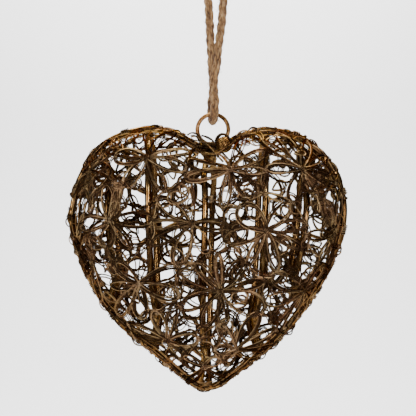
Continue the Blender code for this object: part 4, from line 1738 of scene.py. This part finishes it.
@dataclass
class JuteRope(Maker):
    """The jute rope, doubled through the ring, with the wound knot and its cut ends above the picture.

    The sizes of a ply, a yarn and the core, a fibre's foot and the bend's reach are shares of the diameter.
    """

    diameter: float = 0.0057
    lead: float = 0.0215
    start: Triple = (1.0, 0.05, 0.02)
    rope_points: int = 260
    ply_reach: float = 0.265
    ply_size: float = 0.20
    ply_turns: float = 1.5
    fray_apart: float = 0.9
    fray_size: float = 0.8
    yarns: int = 8
    yarn_radius: float = 0.112
    bend_swell: float = 0.95
    bend_reach: float = 1.2
    bend_closer: float = 0.80
    knot_diameter: float = 0.0180
    knot_height: float = 0.0165
    knot_turns: int = 3
    knot_start: float = 0.6
    knot_points: int = 150
    tuck_share: float = 0.06
    tuck_least: float = 0.25
    core_inset: float = 0.0012
    core_size: float = 0.42
    core_radius: float = 0.26
    tail_length: float = 0.0130
    tail_spread: float = math.radians(20)
    tail_gap: float = 0.0003
    tail_inside: float = 0.0008
    fibres: int = 520
    fibre_length: Pair = (0.0015, 0.0050)
    fibre_foot: float = 0.45
    fibre_rise: float = 0.45
    fibre_lean: float = 0.8
    fibre_sway: Pair = (-0.7, 0.7)
    route: Table = (
        (-31, 0, 10), (-49, 0, -30), (-60, 0, -90), (-56, 1, -177), (-47, 4, -333), (-43, 7, -433),
        (-40, 14, -496), (-33, 23, -567), (-31, 29, -645), (-24, 31, -725), (-21, 34, -808), (-32, 48, -895),
        (-34, 56, -965), (-30, 40, -1016), (-23, 0, -1034), (-16, -40, -1016), (-12, -56, -965),
        (-10, -48, -895), (-17, -34, -808), (-14, -31, -725), (3, -29, -645), (8, -23, -567), (17, -14, -496),
        (27, -7, -433), (40, -4, -333), (50, -1, -177), (56, 0, -90), (47, 0, -30), (31, 0, 10),
    )

    def plies(self, points: Array, fray: Array | float = 0.0, swell: float = 0.0) -> list[Guide]:
        """The three plies round a rope's middle line, one of them right under its lowest point.

        Args:
            points: The middle line, evenly spaced.
            fray: How much the plies open, from 0 to 1, at each point or for all.
            swell: How much fuller the plies are at the lowest point, where they also lie closer.

        Returns:
            A guide for each ply.
        """
        fray = fray * np.ones(len(points))
        step = np.linalg.norm(points[1] - points[0])
        turns = -np.arange(len(points)) * step / self.lead
        across, out = frames(points, self.start)
        lowest = int(np.argmin(points[:, 2]))
        turns = turns - turns[lowest] + math.atan2(-out[lowest, 2], -across[lowest, 2]) / TAU
        far = (np.arange(len(points)) - lowest) * step / self.diameter / self.bend_reach
        bend = swell * np.exp(-(far**2))
        radius = self.diameter * self.ply_reach * (1 + self.fray_apart * fray) * (1 - self.bend_closer * bend)
        size = self.diameter * self.ply_size * (1 + self.fray_size * fray) * (1 + bend)
        guides = []
        for ply in range(3):
            angle = TAU * (turns + ply / 3)
            away = across * np.cos(angle)[:, None] + out * np.sin(angle)[:, None]
            line = points + away * radius[:, None]
            guides.append(Guide.round(line, size, -turns * self.ply_turns, (0.0, 1.0, 0.1)))
        return guides

    def laid(self, name: str, plies: Sequence[Guide], seed: int) -> Piece:
        """Plies made of twisted yarns.

        Args:
            name: The piece's name.
            plies: The plies' middle lines.
            seed: What the yarns' chance starts from.

        Returns:
            The piece.
        """
        twisted = Strands(
            self.yarns,
            radius=self.diameter * self.yarn_radius,
            lay=Lay.TWISTED,
            hollow=0.86,
            wobble=0.5,
            wobble_size=0.004,
            radius_spread=0.35,
            sides=6,
            seed=seed,
        )
        return self.works.wires(name, plies, twisted, self.finishes.jute)

    def fuzz(self, points: Array, seed: int = 3) -> list[Guide]:
        """Stray fibres that stand off the rope.

        Args:
            points: The rope's middle line.
            seed: What the chance starts from.

        Returns:
            A guide for each fibre.
        """
        chance = np.random.default_rng(seed)
        run = tangents(points)
        first, second = frames(points, self.start)
        t = np.linspace(0.0, 1.0, 5)[:, None]
        guides = []
        for _ in range(self.fibres):
            at = int(chance.integers(1, len(points) - 1))
            angle = chance.uniform(0, TAU)
            away = first[at] * math.cos(angle) + second[at] * math.sin(angle)
            length = chance.uniform(*self.fibre_length)
            lean = run[at] * chance.choice((-1.0, 1.0)) * self.fibre_lean
            lean = lean + np.cross(run[at], away) * chance.uniform(*self.fibre_sway)
            rise = self.diameter * self.fibre_foot + self.fibre_rise * length * t**1.5
            line = points[at] + away * rise + lean * length * t
            guides.append(Guide.round(line, up=away + run[at] * 0.1))
        return guides

    def knot(self, low: float, high: float) -> Piece:
        """The winding of the knot round its core.

        Args:
            low: The height of the knot's underside.
            high: The height of its top.

        Returns:
            The knot.
        """
        t = np.linspace(0.0, 1.0, self.knot_points)
        radius = self.knot_diameter / 2 - self.diameter / 2
        rise = low + self.diameter / 2 + (self.knot_height - self.diameter) * t
        angle = TAU * self.knot_turns * t + self.knot_start
        tuck = np.clip(np.minimum(t, 1 - t) / self.tuck_share, self.tuck_least, 1.0)
        line = np.column_stack([np.cos(angle) * radius * tuck, np.sin(angle) * radius * tuck, rise])
        winding = self.laid("knot_winding", self.plies(spaced(line, self.knot_points)), 6)
        heights = np.linspace(low + self.core_inset, high - self.core_inset, 12)
        upright = np.column_stack([np.zeros((12, 2)), heights])
        guide = Guide.round(upright, self.diameter * self.core_size, np.linspace(0, 0.6, 12), (1.0, 0.0, 0.0))
        twisted = Strands(7, radius=self.diameter * self.core_radius, lay=Lay.TWISTED, hollow=0.8, sides=8)
        core = self.works.wires("knot_core", [guide], twisted, self.finishes.jute)
        return join("rope_knot_wound", [winding, core])

    def tail(self, lean: float, top: float) -> list[Guide]:
        """The plies of one cut end, which fray towards its tip.

        Args:
            lean: How far it leans from the upright, and to which side.
            top: The height of the knot's top.

        Returns:
            Their guides.
        """
        steps = np.arange(20)
        way = np.array([math.sin(lean), 0.0, math.cos(lean)])
        foot = np.array([math.copysign(self.diameter / 2 + self.tail_gap, lean), 0.0, top - self.tail_inside])
        line = foot + way * np.linspace(0.0, self.tail_length + 2 * self.tail_inside, len(steps))[:, None]
        return self.plies(line, np.clip((steps - 11) / 8, 0.0, 1.0) ** 1.5)

    def build(self) -> None:
        line = smooth_line(np.array(self.route) / TENTHS)
        points = spaced(line, self.rope_points)
        rope = self.laid("jute_rope", self.plies(points, swell=self.bend_swell), 5)
        report(rope, "jute", "hanging_rope")
        low, high = (corner[2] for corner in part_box("rope_knot"))
        pieces = [report(self.knot(low, high), "jute", "rope_knot")]
        for number, lean in enumerate((-self.tail_spread, self.tail_spread), 1):
            node = f"rope_end_{number}"
            pieces.append(report(self.laid(node + "_frayed", self.tail(lean, high), 7 + number), "jute", node))
        fibre = Strands(1, radius=0.00007, radius_spread=0.6, sides=3, seed=3)
        pieces.append(self.put("rope_fuzz", self.fuzz(points), fibre, self.finishes.jute, "jute"))


# The studio


@dataclass
class Studio:
    """The pale floor, the soft lights and the camera of the photograph."""

    distance: float = 0.560
    span: float = 0.2949
    sensor: float = 36.0
    aim: Pair = (-0.0058, -0.1652)
    heart_height: float = -0.20
    floor_height: float = -0.62
    floor_reach: float = 6.0
    wall: float = 2.4
    wall_height: float = 5.0
    bend: float = 0.8
    tones: Pair = (0.80 * 0.99, 0.80 * 1.01)
    world_strength: float = 0.15

    def camera(self) -> None:
        """The camera, level with the heart and square to it."""
        data = bpy.data.cameras.new("camera")
        data.sensor_width = self.sensor
        data.lens = self.sensor * self.distance / self.span
        data.clip_start = 0.01
        camera = add("camera", data)
        camera.location = (self.aim[0], -self.distance, self.aim[1])
        camera.rotation_euler = (math.pi / 2, 0.0, 0.0)
        bpy.context.scene.camera = camera

    def backdrop(self) -> None:
        """A pale floor that sweeps up into a wall behind."""
        finish = Finish("pale_floor", 0.9, 0.0)
        low, high = ((tone,) * 3 for tone in self.tones)
        noise = finish.noise(finish.place(UNSTRETCHED), 2.0)
        finish.shade(Base_Color=finish.ramp(noise, ((0.0, low), (1.0, high))))
        reach, bend = self.floor_reach, self.bend
        turn = np.linspace(0, math.pi / 2, 16)
        steps = [(-reach, 0.0)]
        steps += [(self.wall - bend + bend * math.sin(angle), bend - bend * math.cos(angle)) for angle in turn]
        steps += [(self.wall, self.wall_height)]
        points = [(x, y, self.floor_height + z) for x in (-reach, reach) for y, z in steps]
        count = len(steps)
        mesh = bpy.data.meshes.new("floor_sweep")
        mesh.from_pydata(points, [], [(i, i + 1, count + i + 1, count + i) for i in range(count - 1)])
        mesh.shade_smooth()
        mesh.materials.append(finish.made)
        add("floor_sweep", mesh)

    def light(self, name: str, place: Triple, size: float, power: float, aim: Triple) -> None:
        """A square soft light.

        Args:
            name: Its name.
            place: Where it stands.
            size: The length of its side.
            power: Its power in watts.
            aim: What it points at.
        """
        data = bpy.data.lights.new(name, "AREA")
        data.shape = "SQUARE"
        data.size = size
        data.energy = power
        lamp = add(name, data)
        lamp.location = place
        lamp.rotation_euler = (Vector(aim) - Vector(place)).to_track_quat("-Z", "Y").to_euler()

    def build(self) -> None:
        """Sets up the whole studio."""
        self.camera()
        self.backdrop()
        world = bpy.data.worlds.new("studio")
        world.use_nodes = True
        background = world.node_tree.nodes["Background"].inputs
        background["Color"].default_value = (1.0, 1.0, 1.0, 1.0)
        background["Strength"].default_value = self.world_strength
        bpy.context.scene.world = world
        heart = (self.aim[0], 0.0, self.heart_height)
        self.light("key_light", (-1.0, -1.1, -0.05), 0.5, 8.6, heart)
        self.light("side_light", (0.42, -1.25, 0.0), 0.35, 9.4, heart)
        self.light("top_light", (-0.1, -0.9, 1.0), 0.8, 2.4, heart)
        self.light("back_wall_light", (0.0, 0.9, 1.6), 2.0, 224.0, (0.0, self.wall, -0.1))


# What the photograph shows of the front, and the plainer back. Angles run anticlockwise from the right.

# A flower's place, and the direction and width of each petal
FRONT_FLOWERS = (
    (-211, 880, ((12, 40), (60, 80), (115, 60), (176, 90), (232, 70), (300, 70), (345, 90))),
    (76, 834, ((27, 60), (70, 40), (130, 70), (165, 50), (195, 60), (255, 40), (312, 90), (358, 50))),
    (325, 839, ((22, 60), (65, 60), (105, 80), (140, 50), (183, 50), (250, 80), (300, 40), (347, 90))),
    (-337, 649, ((0, 60), (75, 40), (100, 70), (130, 60), (185, 80), (212, 50), (258, 80), (308, 50))),
    (-57, 637, ((55, 90), (103, 40), (140, 70), (182, 50), (205, 50), (253, 80), (302, 80), (355, 60))),
    (199, 614, ((12, 60), (47, 110), (95, 40), (140, 110), (195, 80), (240, 40), (285, 60), (333, 50))),
    (-236, 420, (
        (20, 60), (75, 60), (135, 80), (162, 60), (188, 50), (228, 70), (268, 70), (303, 50), (345, 80))),
    (45, 392, (
        (14, 50), (56, 60), (98, 50), (126, 40), (155, 70), (199, 60), (240, 80), (268, 50), (338, 120))),
    (338, 387, ((12, 40), (50, 60), (95, 60), (152, 80), (190, 60), (217, 60), (255, 50), (300, 60))),
    (-138, 206, ((12, 90), (80, 50), (112, 60), (168, 70), (200, 40), (304, 50), (331, 90))),
    (96, 174, ((14, 70), (68, 80), (119, 50), (174, 80), (214, 60), (250, 50), (318, 60), (345, 40))),
    (-419, 838, ((35, 60), (75, 40), (140, 60), (215, 60), (285, 60), (330, 40))),
    (443, 593, ((75, 60), (110, 50), (180, 60), (235, 50), (270, 60))),
    (-404, 493, ((40, 60), (95, 60), (150, 50), (215, 50), (265, 60), (320, 60))),
    (-13, 112, ((35, 50), (120, 80), (155, 40), (240, 40), (300, 40))),
)
# A knot's place, the direction that it is wound along and its length
FRONT_KNOTS = (
    (212, 898, 90, 40), (11, 727, 90, 50), (385, 808, 70, 50), (394, 739, 20, 50), (168, 311, 40, 45),
    (234, 292, 90, 40), (120, 245, 60, 45), (-313, 795, 15, 50),
)
# A leaf's foot, direction, length and width
LEAVES = (
    (329, 815, -57, 179, 40), (357, 749, 17, 181, 34), (348, 827, -6, 215, 47), (430, 814, -135, 201, 40),
    (375, 734, -84, 117, 34), (397, 705, -56, 140, 47), (432, 668, -119, 171, 54), (382, 723, -12, 150, 40),
    (405, 590, 34, 128, 40), (-306, 782, -92, 223, 20), (-404, 705, 123, 160, 27), (-404, 705, 98, 149, 27),
    (-404, 705, 66, 128, 27), (-231, 877, 162, 321, 60), (-382, 874, -157, 219, 54), (-356, 842, -160, 235, 47),
    (-393, 813, -148, 234, 40), (-435, 668, -122, 197, 40), (-411, 613, -132, 201, 40),
)
# The flower and the petal that are only three wires: both count from 1
THIN_PETALS = ((1, 2), (1, 3), (2, 2), (3, 3), (4, 3), (5, 2), (6, 3))
# A flower's place, and how many even petals it has
BACK_FLOWERS = (
    (215, 850, 6), (-60, 815, 6), (-300, 800, 6), (335, 625, 6), (70, 600, 6), (-185, 590, 6), (240, 385, 6),
    (-35, 365, 6), (-310, 370, 6), (120, 175, 6), (-105, 150, 6), (425, 800, 5), (-450, 585, 5), (405, 455, 5),
)


def main() -> None:
    """Builds the studio, the rope, the ring, the rods, the net, its rim and the hoop's wires, in that order."""
    logging.basicConfig(level=logging.INFO, format="%(name)s: %(message)s")
    Studio().build()
    shared = (WireWorks(), Finishes())
    surface = HeartSurface(HeartPlan(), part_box("heart_hoop"))
    JuteRope(*shared).build()
    HangingRing(*shared).build()
    rods = RodFrame(*shared, surface)
    rods.build()
    front, back = rods.plan_lines(Side.FRONT), rods.plan_lines(Side.BACK)
    given = {"knots": FRONT_KNOTS, "thin": THIN_PETALS, "leaves": LEAVES}
    FlowerNet(*shared, surface, Side.FRONT, FRONT_FLOWERS, front, seed=11, **given).build()
    strands = Strands(7, radius=0.00042, wobble=0.9)
    FlowerNet(*shared, surface, Side.BACK, BACK_FLOWERS, back, seed=12, strands=strands).build()
    RimNet(*shared, surface, Side.FRONT, seed=31).build()
    RimNet(*shared, surface, Side.BACK, seed=51).build()
    HoopWinding(*shared, surface).build()


if __name__ == "__main__":
    main()
